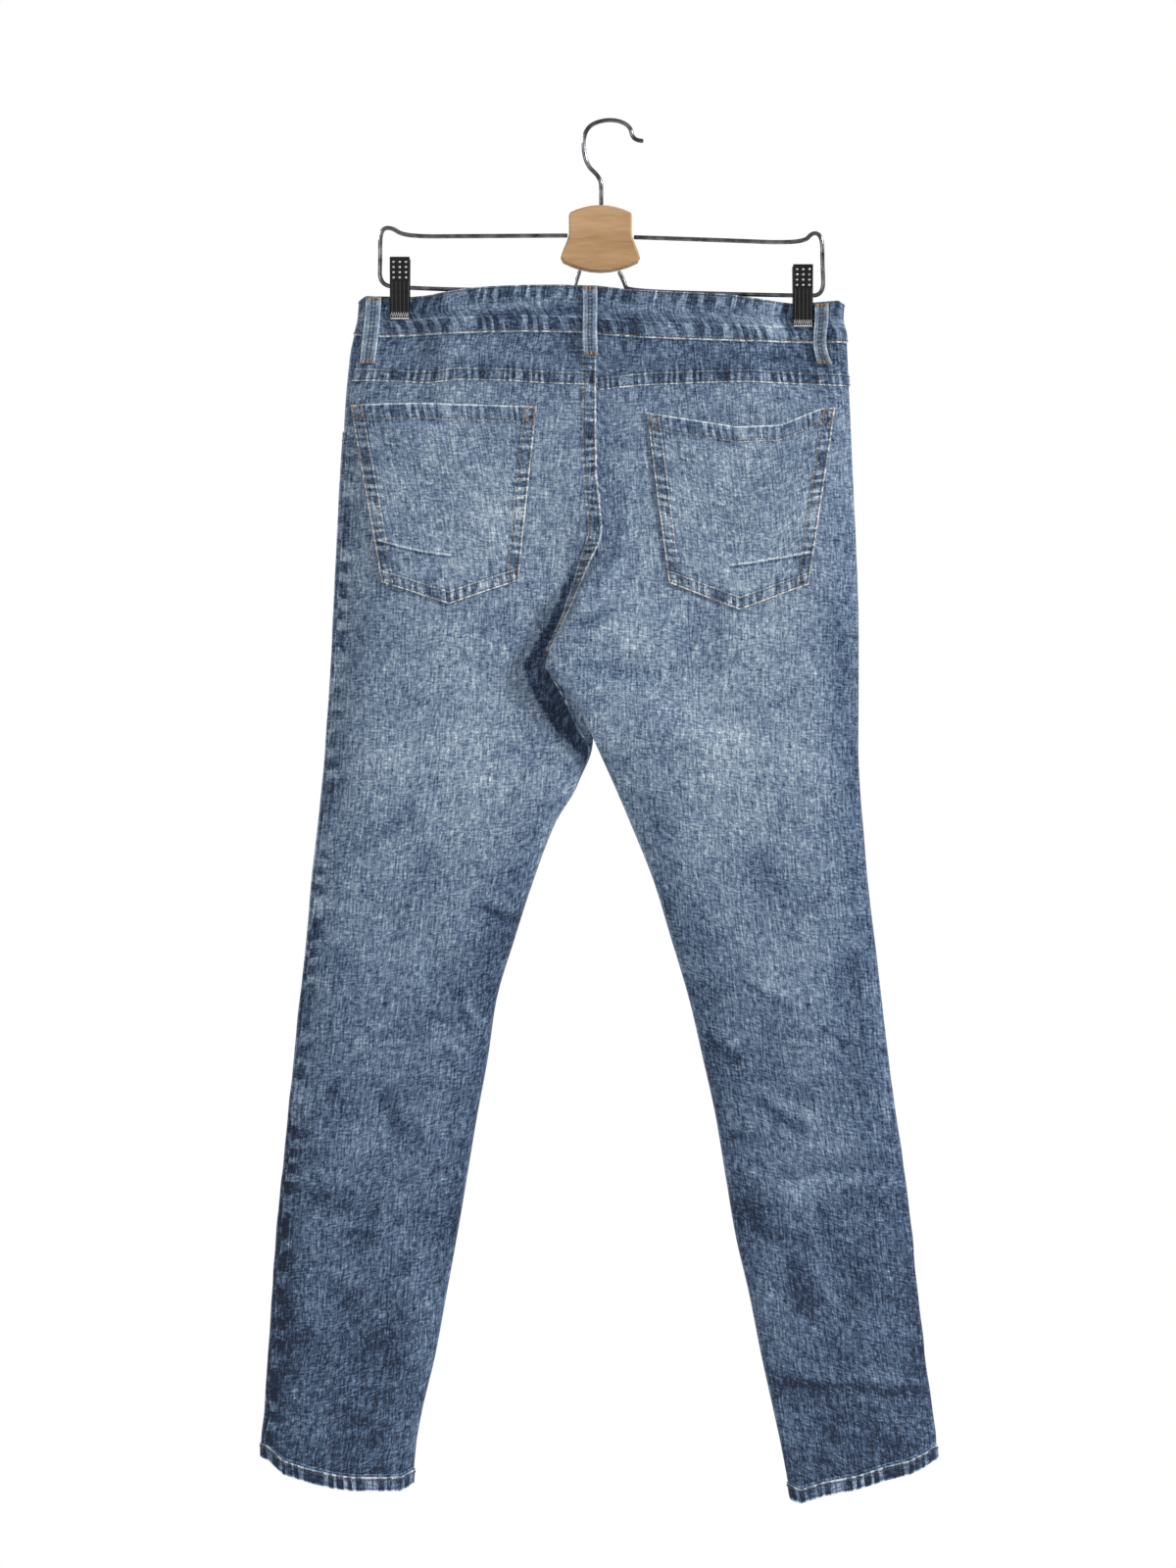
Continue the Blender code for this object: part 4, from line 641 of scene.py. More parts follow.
@dataclass
class Panel:
    """A stretch of the garment's section from a side seam to the seat seam, front rise or inseam.

    A section is a clamped quadratic B-spline; its control points run down the garment on monotone cubics.
    """

    side: Side
    face: Face
    ends: Sequence[InnerEnd]
    upper_seam: Sequence[SeamPoint]
    lower_seam: Sequence[SeamPoint]
    folds: Sequence[Crease]
    detail: Sequence[Crease]
    heights: Array = field(init=False)
    controls: Array = field(init=False)

    def __post_init__(self) -> None:
        """Works out the control points of every section."""
        self.heights, self.controls = self.control_rows()

    @property
    def left(self) -> bool:
        """True for the left leg."""
        return self.side is Side.LEFT

    @property
    def out(self) -> float:
        """Outward sign along Y."""
        return -1.0 if self.face is Face.BACK else 1.0

    def outer_points(self, outer: float, depth: float, far_x: float, far_y: float) -> list:
        """Control points from the side seam to the middle of the panel, for one height."""
        out = self.out
        wraps = self.left == (out > 0)
        shares = (0.36, 0.72) if wraps else (0.20, 0.47, 0.76)
        levels = (depth * out,) if wraps else (0.94 * depth * out, depth * out)
        levels += (0.75 * depth * out + 0.25 * far_y,)
        middle = [(mix(outer, far_x, share), level) for share, level in zip(shares, levels)]
        edge = SIDE_SEAMS[self.side]
        seam = (outer + edge.way * edge.inset, mix(edge.edge_y, edge.turn_y, edge.inset / SIDE_TURN))
        if wraps:
            far = (outer + edge.way * WRAP_REACH, edge.wrap_share * depth)
            return [seam, (outer, edge.edge_y), (outer, edge.wrap_y), far] + middle
        return [seam, (outer + edge.way * SIDE_TURN, edge.turn_y)] + middle

    def inseam_x(self, row: Leg) -> float:
        """Inner edge of this panel's leg in a row of the leg table."""
        return row.left_inner if self.left else row.right_inner

    def control_rows(self) -> tuple[Array, Array]:
        """Heights and control points, apart from the seam's own, of every section that shapes this panel."""
        heights = []
        rows = []
        outer_name = self.side.value
        hip_heights = column(HIPS, "z")
        way = -1.0 if self.left else 1.0
        for row in HIPS:
            if row.z <= self.ends[0].z:
                continue
            level = getattr(row, self.face.value) * self.out
            seam = float(self.seam_point(np.array(row.z))[0])
            inner = [(seam + 45 * way, level), (seam + 16 * way, level), (6.0 * way, 0.0)]
            heights.append(row.z)
            rows.append(self.outer_points(getattr(row, outer_name), abs(level), *inner[0]) + inner)
        for end in self.ends:
            depth = float(smooth(end.z, hip_heights, column(HIPS, self.face.value)))
            edge = float(smooth(end.z, hip_heights, column(HIPS, outer_name)))
            if end.z <= LEGS[0].z:
                edge = LEGS[0].left_outer if self.left else LEGS[0].right_outer
            inner = [(end.far_x, end.far_y), (end.turn_x, end.turn_y), (end.step_x, end.step_y)]
            heights.append(end.z)
            rows.append(self.outer_points(edge, depth, *inner[0]) + inner)
        for row in LEGS[1:]:
            level = getattr(row, self.face.value) * self.out
            outer_x = row.left_outer if self.left else row.right_outer
            inner_x = self.inseam_x(row)
            span = outer_x - inner_x
            near, last = (inner_x + 0.17 * span, 0.94 * level), (inner_x + 0.02 * span, 0.62 * level)
            inner = [near, last, (0.0, 3.5 * self.out)]
            heights.append(row.z)
            rows.append(self.outer_points(outer_x, abs(level), *inner[0]) + inner)
        return np.array(heights), np.array(rows)

    def seam_point(self, z: Array) -> Array:
        """Place (x, y) of the inner seam at heights z: seat seam or front rise, then the inseam."""
        upper = smooth(np.maximum(z, FORK_Z), column(self.upper_seam, "z"), seam_rows(self.upper_seam))
        legs = tuple(SeamPoint(row.z, self.inseam_x(row), 0.0) for row in LEGS[1:])
        lower_rows = tuple(self.lower_seam) + legs
        lower = smooth(np.minimum(z, FORK_Z), column(lower_rows, "z"), seam_rows(lower_rows))
        return np.where(np.asarray(z)[..., None] > FORK_Z, upper, lower)

    def point(self, share: Array, z: Array) -> Array:
        """Points of the cloth's middle surface.

        Args:
            share: place along the section, 0 at the side seam to 1 at the inner seam.
            z: heights, of the same shape.

        Returns:
            Points (x, y, z) in millimetres.
        """
        share = np.asarray(share, dtype=float)
        z = np.asarray(z, dtype=float)
        controls = smooth(z, self.heights, self.controls)
        seam = self.seam_point(z)
        ends = np.stack([seam + controls[..., -1, :], seam], axis=-2)
        controls = np.concatenate([controls[..., :-1, :], ends], axis=-2)
        spans = controls.shape[-2] - 2
        place = np.clip(share, 0, 1) * spans
        first = np.minimum(place.astype(int), spans - 1)
        t = (place - first)[..., None]
        first = first[..., None]
        pick = [np.take_along_axis(controls, (first + k)[..., None], axis=-2)[..., 0, :] for k in range(3)]
        start = np.where(first == 0, pick[0], (pick[0] + pick[1]) / 2)
        end = np.where(first == spans - 1, pick[2], (pick[1] + pick[2]) / 2)
        flat = (1 - t) ** 2 * start + 2 * t * (1 - t) * pick[1] + t**2 * end
        x = flat[..., 0]
        held = np.clip(share, 0, 1)
        inside = ease(held * 7) * ease((1 - held) * 9)
        fold = relief(self.folds, x, z) * np.sin(np.pi * held)
        fold += (relief(self.detail, x, z) + ripple(x, z) * ease((-z - 190) / 60)) * inside
        x = x + self.edge_wave(z) * (1 - ease(held * 6))
        return np.stack([x, pinch(x, flat[..., 1] + self.out * fold, z), z], axis=-1)

    def edge_wave(self, z: Array) -> Array:
        """Small in and out of the outline down the side seam: sines that grow towards the hem."""
        grow = ease((-z - 600) / 450)
        if self.left:
            return grow * (0.8 * np.sin(z * 0.083 + 1) + 0.5 * np.sin(z * 0.171))
        return grow * (1.1 * np.sin(z * 0.076) + 0.8 * np.sin(z * 0.148 + 2))

    def even_shares(self, z: Array, columns: int) -> Array:
        """Shares that part each section into stretches of equal length.

        Args:
            z: heights of the rows.
            columns: how many shares each row gets.

        Returns:
            Shares, one row for each height.
        """
        dense = np.linspace(0, 1, 181)
        share, height = np.meshgrid(dense, z)
        points = self.point(share, height)
        steps = np.linalg.norm(np.diff(points, axis=1), axis=-1)
        run = np.concatenate([np.zeros((len(z), 1)), np.cumsum(steps, axis=1)], axis=1)
        run /= run[:, -1:]
        want = np.linspace(0, 1, columns)
        low = np.clip((run[:, :, None] <= want).sum(axis=1) - 1, 0, len(dense) - 2)
        start = np.take_along_axis(run, low, axis=1)
        width = np.take_along_axis(run, low + 1, axis=1) - start
        return (low + np.clip((want - start) / np.maximum(width, 1e-9), 0, 1)) / (len(dense) - 1)

    def strip(
        self, level: float, rows: int, columns: int, height_at: Callable[[Array, Array], Array],
        start: Optional[float] = None,
    ) -> Array:
        """Points of a strip of cloth between two edge lines; heights and x are worked out by turns.

        Args:
            level: height whose even shares the columns follow.
            rows: rows down the strip.
            columns: columns across it.
            height_at: height for every x and share down the strip.
            start: first height tried, level if it isn't given.

        Returns:
            Points, rows by columns by 3.
        """
        share = np.broadcast_to(self.even_shares(np.array([level]), columns), (rows, columns))
        down = np.broadcast_to(np.linspace(0, 1, rows)[:, None], share.shape)
        z = np.full(share.shape, level if start is None else start)
        for _ in range(STRIP_ROUNDS):
            z = height_at(self.point(share, z)[..., 0], down)
        return self.point(share, z)

    def share_at(self, x: Array, z: Array) -> Array:
        """Share where the cloth passes x, found by halving, for sheets that run one way across."""
        low = np.full_like(x, 0.16 if self.left == (self.out > 0) or not self.left else 0.02)
        high = np.ones_like(x)
        for _ in range(22):
            middle = (low + high) / 2
            here = self.point(middle, z)[..., 0]
            past = here < x if self.left else here > x
            low = np.where(past, middle, low)
            high = np.where(past, high, middle)
        return (low + high) / 2


BACK_FOLDS = (BACK_CREASES, BACK_DETAIL)
FRONT_FOLDS = (FRONT_CREASES, FRONT_DETAIL)
BACK_LEFT = Panel(Side.LEFT, Face.BACK, BACK_LEFT_END, SEAT_SEAM, LEFT_INSEAM, *BACK_FOLDS)
BACK_RIGHT = Panel(Side.RIGHT, Face.BACK, BACK_RIGHT_END, SEAT_SEAM, RIGHT_INSEAM, *BACK_FOLDS)
FRONT_LEFT = Panel(Side.LEFT, Face.FRONT, FRONT_LEFT_END, FRONT_RISE, LEFT_INSEAM, *FRONT_FOLDS)
FRONT_RIGHT = Panel(Side.RIGHT, Face.FRONT, FRONT_RIGHT_END, FRONT_RISE, RIGHT_INSEAM, *FRONT_FOLDS)


def face_points(face: Face, x: Array, z: Array) -> Array:
    """Points of the back or front of the garment at x and z, above the fork."""
    left, right = (BACK_LEFT, BACK_RIGHT) if face is Face.BACK else (FRONT_LEFT, FRONT_RIGHT)
    seam = left.seam_point(z)[..., 0]
    on_left = left.point(left.share_at(np.minimum(x, seam), z), z)
    on_right = right.point(right.share_at(np.maximum(x, seam), z), z)
    depth = np.where(x < seam, on_left[..., 1], on_right[..., 1])
    return np.stack([x, depth, z], axis=-1)


def unit(vectors: Array) -> Array:
    """Vectors brought to length 1."""
    return vectors / np.maximum(np.linalg.norm(vectors, axis=-1, keepdims=True), 1e-9)


def grid_normals(grid: Array, outward: float) -> Array:
    """Unit normals of a grid: the cross product of its two gradients.

    Args:
        grid: points, rows by columns by 3.
        outward: sign along Y that the middle of the grid faces.

    Returns:
        Normals of the same shape.
    """
    normal = unit(np.cross(np.gradient(grid, axis=1), np.gradient(grid, axis=0)))
    middle = normal[grid.shape[0] // 2, grid.shape[1] // 2, 1]
    return normal * (1.0 if middle * outward > 0 else -1.0)


def grid_quads(index: Array) -> Array:
    """Quads between the neighbouring rows and columns of a grid of point numbers."""
    return np.stack([index[:-1, :-1], index[1:, :-1], index[1:, 1:], index[:-1, 1:]], axis=-1).reshape(-1, 4)


def ring_quads(rings: int, sides: int) -> Array:
    """Quads that join each closed ring of points to the next."""
    index = np.arange(rings * sides).reshape(rings, sides)
    after = np.roll(index, -1, axis=1)
    return np.stack([index[:-1], index[1:], after[1:], after[:-1]], axis=-1).reshape(-1, 4)


def new_piece(name: str, points: Array, faces: Array) -> bpy.types.Object:
    """A mesh of points in millimetres, as an object linked to the scene."""
    mesh = bpy.data.meshes.new(name)
    mesh.from_pydata(points.reshape(-1, 3) * MM, [], faces)
    piece = bpy.data.objects.new(name, mesh)
    bpy.context.collection.objects.link(piece)
    return piece


def declare(piece: bpy.types.Object, node: str = "") -> None:
    """Says what carries a piece and the solid that it stands for, if there is one."""
    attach(piece, "root")
    if node:
        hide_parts(node)


@dataclass
class Cloth:
    """A cloth piece as a grid of its middle surface, with its normals and the distances to its four edges."""

    name: str
    grid: Array
    outward: float
    ring: bool = False
    normal: Array = field(init=False)
    reach: dict = field(init=False)

    def __post_init__(self) -> None:
        """Works out normals and edge distances."""
        self.measure()

    def measure(self) -> None:
        """Normals, and for each edge the length of cloth between it and every point."""
        self.normal = grid_normals(self.grid, self.outward)
        if self.ring:
            joined = unit(self.normal[:, 0] + self.normal[:, -1])
            self.normal[:, 0] = joined
            self.normal[:, -1] = joined
        across = np.linalg.norm(np.diff(self.grid, axis=1), axis=-1)
        down = np.linalg.norm(np.diff(self.grid, axis=0), axis=-1)
        from_left = np.concatenate([np.zeros((len(across), 1)), np.cumsum(across, axis=1)], axis=1)
        from_top = np.concatenate([np.zeros((1, down.shape[1])), np.cumsum(down, axis=0)], axis=0)
        self.reach = {
            Edge.LEFT: from_left, Edge.RIGHT: from_left[:, -1:] - from_left,
            Edge.TOP: from_top, Edge.FOOT: from_top[-1:] - from_top,
        }

    def lift(self, amount: Array) -> None:
        """Moves the cloth out along its normals by amount, in millimetres."""
        self.grid = self.grid + self.normal * np.asarray(amount)[..., None]
        self.normal = grid_normals(self.grid, self.outward)

    def row(self, edge: Edge, distance: float, rise: float) -> tuple[Array, Array]:
        """A line of points that follows one edge at a distance from it.

        Args:
            edge: the edge followed.
            distance: how far in from it, in millimetres.
            rise: how far out from the middle surface.

        Returns:
            Points of the line and their normals.
        """
        away = self.reach[edge]
        grid, normal = self.grid, self.normal
        if edge in (Edge.LEFT, Edge.RIGHT):
            away, grid, normal = away.T, grid.transpose(1, 0, 2), normal.transpose(1, 0, 2)
        if edge in (Edge.FOOT, Edge.RIGHT):
            away, grid, normal = away[::-1], grid[::-1], normal[::-1]
        low = np.clip((away <= distance).sum(axis=0) - 1, 0, len(away) - 2)
        pick = np.arange(away.shape[1])
        step = np.maximum(away[low + 1, pick] - away[low, pick], 1e-9)
        t = np.clip((distance - away[low, pick]) / step, 0, 1)[:, None]
        points = mix(grid[low, pick], grid[low + 1, pick], t)
        normals = unit(mix(normal[low, pick], normal[low + 1, pick], t))
        return points + normals * rise, normals

    def cut(self) -> tuple[tuple[float, float], float]:
        """Flat size (width, length) and flat area of the cloth, in metres and square metres."""
        width = float(self.reach[Edge.LEFT][:, -1].max()) * MM
        length = float(self.reach[Edge.TOP][-1].max()) * MM
        side_a = self.grid[1:, :-1] - self.grid[:-1, :-1]
        side_b = self.grid[:-1, 1:] - self.grid[:-1, :-1]
        area = float(np.linalg.norm(np.cross(side_a, side_b), axis=-1).sum()) * MM * MM
        return (width, length), min(area, width * length)

    def build(self, wall: float, tone: Array, drawn: Optional[Array] = None) -> bpy.types.Object:
        """The closed shell of the piece, with UVs in metres of cloth and point values for its material.

        Args:
            wall: thickness in millimetres.
            tone: fade at each grid point, with any painted shade and light mixed in.
            drawn: distance in millimetres to a line drawn on the piece, if it has one.

        Returns:
            The new object, linked to the scene.
        """
        rows, cols = self.grid.shape[:2]
        place = np.arange(rows * cols).reshape(rows, cols)
        index = place.copy()
        if self.ring:
            index[:, -1] = index[:, 0]
        count = rows * cols
        quads = grid_quads(place)
        face = np.cross(self.grid[1, 0] - self.grid[0, 0], self.grid[0, 1] - self.grid[0, 0])
        if np.dot(face, self.normal[0, 0]) < 0:
            quads = quads[:, ::-1]
        spans = [(place[0], -1), (place[-1], 1)]
        if not self.ring:
            spans += [(place[:, 0], 1), (place[:, -1], -1)]
        turn = 1 if np.dot(face, self.normal[0, 0]) >= 0 else -1
        corners = [quads, quads[:, ::-1] + count]
        for line, way in spans:
            rim = np.stack([line[:-1], line[1:], line[1:] + count, line[:-1] + count], axis=-1)
            corners.append(rim if way * turn < 0 else rim[:, ::-1])
        corner = np.concatenate(corners)
        lookup = np.concatenate([index.reshape(-1), index.reshape(-1) + count])
        shift = self.normal * wall / 2
        points = np.concatenate([(self.grid + shift).reshape(-1, 3), (self.grid - shift).reshape(-1, 3)])
        used = np.unique(lookup[corner])
        renumber = np.zeros(2 * count, dtype=int)
        renumber[used] = np.arange(len(used))
        piece = new_piece(self.name, points[used], renumber[lookup[corner]])
        mesh = piece.data
        flat = np.stack([self.reach[Edge.LEFT], self.reach[Edge.TOP]], axis=-1).reshape(-1, 2) * MM
        flat = np.concatenate([flat, flat])
        layer = mesh.uv_layers.new(name="cloth")
        layer.data.foreach_set("uv", flat[corner].reshape(-1).astype(np.float32))
        values = {edge.value: self.reach[edge] for edge in Edge}
        values["tone"] = tone
        values["drawn"] = np.full((rows, cols), NO_LINE) if drawn is None else drawn
        for name, value in values.items():
            both = np.tile(np.broadcast_to(value, (rows, cols)).reshape(-1), 2)
            made = mesh.attributes.new(name, "FLOAT", "POINT")
            made.data.foreach_set("value", both[used].astype(np.float32))
        mesh.shade_smooth()
        mesh.set_sharp_from_angle(angle=math.radians(55))
        return piece


@dataclass
class Graph:
    """Adds nodes to one tree and joins them."""

    tree: bpy.types.NodeTree

    def add(self, kind: str, **settings: Any) -> bpy.types.Node:
        """A new node with settings."""
        node = self.tree.nodes.new(kind)
        for name, value in settings.items():
            setattr(node, name, value)
        return node

    def feed(self, socket: bpy.types.NodeSocket, value: Any) -> None:
        """Joins a socket to a value: another socket, a number or a tuple."""
        if isinstance(value, bpy.types.NodeSocket):
            self.tree.links.new(value, socket)
        else:
            socket.default_value = value

    def math(self, operation: str, *values: Any) -> bpy.types.NodeSocket:
        """Output of a Math node; more than two values are taken in one after another."""
        result = values[0]
        for value in values[1:] or (0.0,):
            node = self.add("ShaderNodeMath", operation=operation)
            self.feed(node.inputs[0], result)
            self.feed(node.inputs[1], value)
            result = node.outputs[0]
        return result

    def total(self, *terms: Any) -> bpy.types.NodeSocket:
        """Sum of several values."""
        return self.math("ADD", *terms)

    def times(self, *terms: Any) -> bpy.types.NodeSocket:
        """Product of several values."""
        return self.math("MULTIPLY", *terms)

    def step(self, value: Any, low: float, high: float, start: float = 0.0, end: float = 1.0) -> Any:
        """Smooth step of value from start at low to end at high."""
        node = self.add("ShaderNodeMapRange", interpolation_type="SMOOTHSTEP")
        names = ("Value", "From Min", "From Max", "To Min", "To Max")
        for name, entry in zip(names, (value, low, high, start, end)):
            self.feed(node.inputs[name], entry)
        return node.outputs["Result"]

    def peak(self, value: Any, low: float, high: float, top: float = 1.0) -> bpy.types.NodeSocket:
        """Top where value lies within low of 0, falling to 0 at high either way."""
        return self.step(self.math("ABSOLUTE", value), low, high, top, 0.0)

    def bump(self, shader: bpy.types.Node, height: Any, strength: float, distance: float) -> None:
        """Turns a height into the shader's normal."""
        node = self.add("ShaderNodeBump")
        node.inputs["Strength"].default_value = strength
        node.inputs["Distance"].default_value = distance
        self.feed(node.inputs["Height"], height)
        self.feed(shader.inputs["Normal"], node.outputs["Normal"])

    def scaled(self, vector: Any, x: float, y: float, z: float = 1.0, turn: float = 0.0) -> Any:
        """Vector turned about Z and scaled."""
        node = self.add("ShaderNodeMapping")
        self.feed(node.inputs["Vector"], vector)
        node.inputs["Rotation"].default_value = (0.0, 0.0, turn)
        node.inputs["Scale"].default_value = (x, y, z)
        return node.outputs["Vector"]

    def noise(self, vector: Any, scale: float, detail: float = 2.0, rough: float = 0.5) -> Any:
        """Noise value centred on 0."""
        node = self.add("ShaderNodeTexNoise")
        self.feed(node.inputs["Vector"], vector)
        node.inputs["Scale"].default_value = scale
        node.inputs["Detail"].default_value = detail
        node.inputs["Roughness"].default_value = rough
        return self.math("SUBTRACT", node.outputs["Fac"], 0.5)

    def ramp(self, value: Any, stops: Sequence[tuple]) -> bpy.types.NodeSocket:
        """Colour ramp through (position, linear colour) stops."""
        node = self.add("ShaderNodeValToRGB")
        self.feed(node.inputs["Fac"], value)
        points = node.color_ramp.elements
        while len(points) < len(stops):
            points.new(0.5)
        for point, (position, colour) in zip(points, stops):
            point.position = position
            point.color = (*colour, 1.0)
        return node.outputs["Color"]

    def attribute(self, name: str) -> bpy.types.NodeSocket:
        """Point value of the piece's own mesh."""
        return self.add("ShaderNodeAttribute", attribute_name=name).outputs["Fac"]

    def group(self, tree: bpy.types.NodeTree, **values: Any) -> bpy.types.Node:
        """A placed node group with its inputs fed; underscores in names stand for spaces."""
        node = self.add("ShaderNodeGroup", node_tree=tree)
        for name, value in values.items():
            self.feed(node.inputs[name.replace("_", " ")], value)
        return node


def linear(red: float, green: float, blue: float) -> tuple[float, float, float]:
    """Linear colour of a display colour given in 0..255."""
    shown = (red / 255, green / 255, blue / 255)
    return tuple(c / 12.92 if c <= 0.04045 else ((c + 0.055) / 1.055) ** 2.4 for c in shown)


def new_group(name: str, inputs: dict, outputs: dict) -> tuple[bpy.types.NodeTree, Graph, Any, Any]:
    """A shader node group with named sockets.

    Args:
        name: the group's name.
        inputs: input name to the start value of a number, or None for a vector.
        outputs: output name to socket type.

    Returns:
        The tree, its graph, and the group's input and output nodes.
    """
    tree = bpy.data.node_groups.new(name, "ShaderNodeTree")
    for label, value in inputs.items():
        kind = "NodeSocketVector" if value is None else FLOAT
        socket = tree.interface.new_socket(name=label, in_out="INPUT", socket_type=kind)
        if value is not None:
            socket.default_value = value
    for label, kind in outputs.items():
        tree.interface.new_socket(name=label, in_out="OUTPUT", socket_type=kind)
    graph = Graph(tree)
    return tree, graph, graph.add("NodeGroupInput"), graph.add("NodeGroupOutput")


def denim_weave_group() -> bpy.types.NodeTree:
    """Mottled washed denim: streaks down the warp, slubs across, speckle and soft clouds over a fade value.

    Returns:
        A group that takes the cloth's UV and a fade, and puts out a colour and a height.
    """
    tree, graph, given, result = new_group(
        "denim weave", {"Cloth": None, "Fade": 0.5, "Mottle": 1.0},
        {"Color": "NodeSocketColor", "Height": FLOAT},
    )
    cloth = given.outputs["Cloth"]
    stretched = (
        (520.0, 170.0, 0.0, 3.0, 0.62, 0.95), (170.0, 520.0, 0.0, 2.0, 0.6, 0.95),
        (620.0, 52.0, 0.0, 2.0, 0.6, 0.80), (420.0, 10.0, 0.0, 2.0, 0.6, 0.36),
        (60.0, 110.0, 0.6, 3.0, 0.6, 0.42),
    )
    layers = [
        (graph.noise(graph.scaled(cloth, x, y, 1.0, turn), 1.0, detail, rough), share)
        for x, y, turn, detail, rough, share in stretched
    ]
    layers.append((graph.noise(cloth, 720.0, 2.0, 0.6), 0.75))
    grain = graph.total(*(graph.times(layer, share) for layer, share in layers))
    cloud = graph.noise(cloth, 17.0, 3.0, 0.55)
    spread = graph.times(grain, given.outputs["Mottle"])
    fade = graph.total(given.outputs["Fade"], spread, graph.times(cloud, 0.42))
    colour = graph.ramp(fade, DENIM_STOPS)
    graph.feed(result.inputs["Color"], colour)
    graph.feed(result.inputs["Height"], grain)
    return tree


def seam_wear_group() -> bpy.types.NodeTree:
    """Puckered, worn felled band along an edge.

    Inside the band blocks of light and dark run along the seam and fade out past it; the sewn edge of the
    band is worn pale, and a dark line just past the band is painted shade beside its raised far edge.

    Returns:
        A group that turns the distance from the edge and the place along it into a fade, painted shade
        included, and a height.
    """
    tree, graph, given, result = new_group(
        "seam wear",
        {"Distance": 0.0, "Run": 0.0, "Band": 10.0, "Pitch": 100.0, "Pucker": 1.0, "Wear": 1.0, "Shade": 1.0},
        {"Fade": FLOAT, "Height": FLOAT},
    )
    distance = given.outputs["Distance"]
    past = graph.math("SUBTRACT", distance, given.outputs["Band"])
    inside = graph.step(past, -0.8, 0.8, 1.0, 0.0)
    near = graph.step(past, 0.5, 9.0, 1.0, 0.0)
    along = graph.add("ShaderNodeCombineXYZ")
    run = graph.times(given.outputs["Run"], given.outputs["Pitch"])
    graph.feed(along.inputs["X"], run)
    graph.feed(along.inputs["Y"], graph.times(distance, 0.022))
    drift = graph.noise(along.outputs["Vector"], 0.43, 0.0, 0.5)
    wandering = graph.total(run, graph.times(drift, 3.4))
    wave = graph.math("SINE", graph.times(wandering, 2 * math.pi))
    depth = graph.step(graph.noise(along.outputs["Vector"], 0.21, 1.0, 0.5), -0.16, 0.08, 0.55, 1.0)
    ragged = graph.noise(along.outputs["Vector"], 2.3, 2.0, 0.6)
    blocks = graph.step(graph.total(wave, graph.times(ragged, 2.2)), -0.35, 0.65, -0.27, 0.13)
    blocks = graph.times(blocks, depth)
    block_share = graph.total(inside, graph.times(graph.math("SUBTRACT", near, inside), 0.35))
    blocks = graph.times(blocks, block_share, given.outputs["Pucker"])
    frayed = graph.noise(along.outputs["Vector"], 3.1, 2.0, 0.6)
    rim = graph.total(graph.peak(distance, 0.5, 1.9), graph.peak(past, 0.3, 1.3, 0.45))
    rim = graph.times(rim, graph.total(frayed, 0.44), given.outputs["Wear"])
    # Painted shade: a dark line just past the band, beside its raised edge; Shade scales it.
    beyond = graph.times(graph.step(past, -0.2, 0.7), graph.step(past, 0.8, 3.0, 1.0, 0.0))
    beyond = graph.times(beyond, given.outputs["Shade"], -0.14)
    graph.feed(result.inputs["Fade"], graph.total(blocks, rim, beyond))
    graph.feed(result.inputs["Height"], graph.total(blocks, graph.times(inside, 0.25)))
    return tree


DENIM_STOPS = (
    (0.00, linear(26, 36, 54)), (0.16, linear(48, 64, 88)), (0.34, linear(78, 97, 122)),
    (0.52, linear(109, 127, 149)), (0.68, linear(139, 155, 172)), (0.84, linear(170, 184, 195)),
    (1.00, linear(214, 221, 225)),
)


class Band(NamedTuple):
    """A puckered band along one edge of a piece."""

    edge: Edge
    width: float
    pitch: float = 150.0
    pucker: float = 1.0
    wear: float = 1.0
    # shade is the strength of the painted shade line just past the band.
    shade: float = 1.0


@dataclass(frozen=True)
class DenimFinish:
    """Washed denim with its seam bands."""

    name: str
    bands: tuple[Band, ...] = ()
    shift: float = 0.0
    mottle: float = 1.0
    roughness: float = 0.92
    sheen: float = 0.08

    def material(self, weave: bpy.types.NodeTree, wear: bpy.types.NodeTree) -> bpy.types.Material:
        """The finish as a material.

        Args:
            weave: the denim weave group.
            wear: the seam wear group.

        Returns:
            A material that reads the piece's UV map and point values.
        """
        made, graph, shader = principled(self.name)
        cloth = graph.add("ShaderNodeUVMap", uv_map="cloth").outputs["UV"]
        parts = graph.add("ShaderNodeSeparateXYZ")
        graph.feed(parts.inputs["Vector"], cloth)
        # The tone point value holds the denim's fade with painted shade and light mixed in: the fork's shadow
        # and the creases' shade and light.
        fade = graph.total(graph.attribute("tone"), self.shift)
        height: Any = 0.0
        for band in self.bands:
            run = parts.outputs["Y"] if band.edge in (Edge.LEFT, Edge.RIGHT) else parts.outputs["X"]
            placed = graph.group(
                wear, Distance=graph.attribute(band.edge.value), Run=run, Band=band.width, Pitch=band.pitch,
                Pucker=band.pucker, Wear=band.wear, Shade=band.shade,
            )
            fade = graph.total(fade, placed.outputs["Fade"])
            height = graph.total(height, placed.outputs["Height"])
        # Along the drawn slit line: a pale rim on the fold's edge, then painted shade just below it, under
        # the fold.
        drawn = graph.attribute("drawn")
        pale = graph.peak(drawn, 0.4, 1.3, 0.30)
        dark = graph.times(graph.step(drawn, 0.8, 1.6), graph.step(drawn, 2.0, 4.5, -0.22, 0.0))
        fade = graph.total(fade, pale, dark)
        placed = graph.group(weave, Cloth=cloth, Fade=fade, Mottle=self.mottle)
        graph.feed(shader.inputs["Base Color"], placed.outputs["Color"])
        relief_height = graph.total(placed.outputs["Height"], graph.times(height, 2.4))
        graph.bump(shader, relief_height, 0.55, 0.0011)
        shader.inputs["Roughness"].default_value = self.roughness
        shader.inputs["Sheen Weight"].default_value = self.sheen
        shader.inputs["Sheen Roughness"].default_value = 0.5
        shader.inputs["Specular IOR Level"].default_value = 0.25
        return made


def principled(name: str) -> tuple[bpy.types.Material, Graph, bpy.types.Node]:
    """A new material with its graph and Principled shader."""
    made = bpy.data.materials.new(name)
    made.use_nodes = True
    return made, Graph(made.node_tree), made.node_tree.nodes["Principled BSDF"]


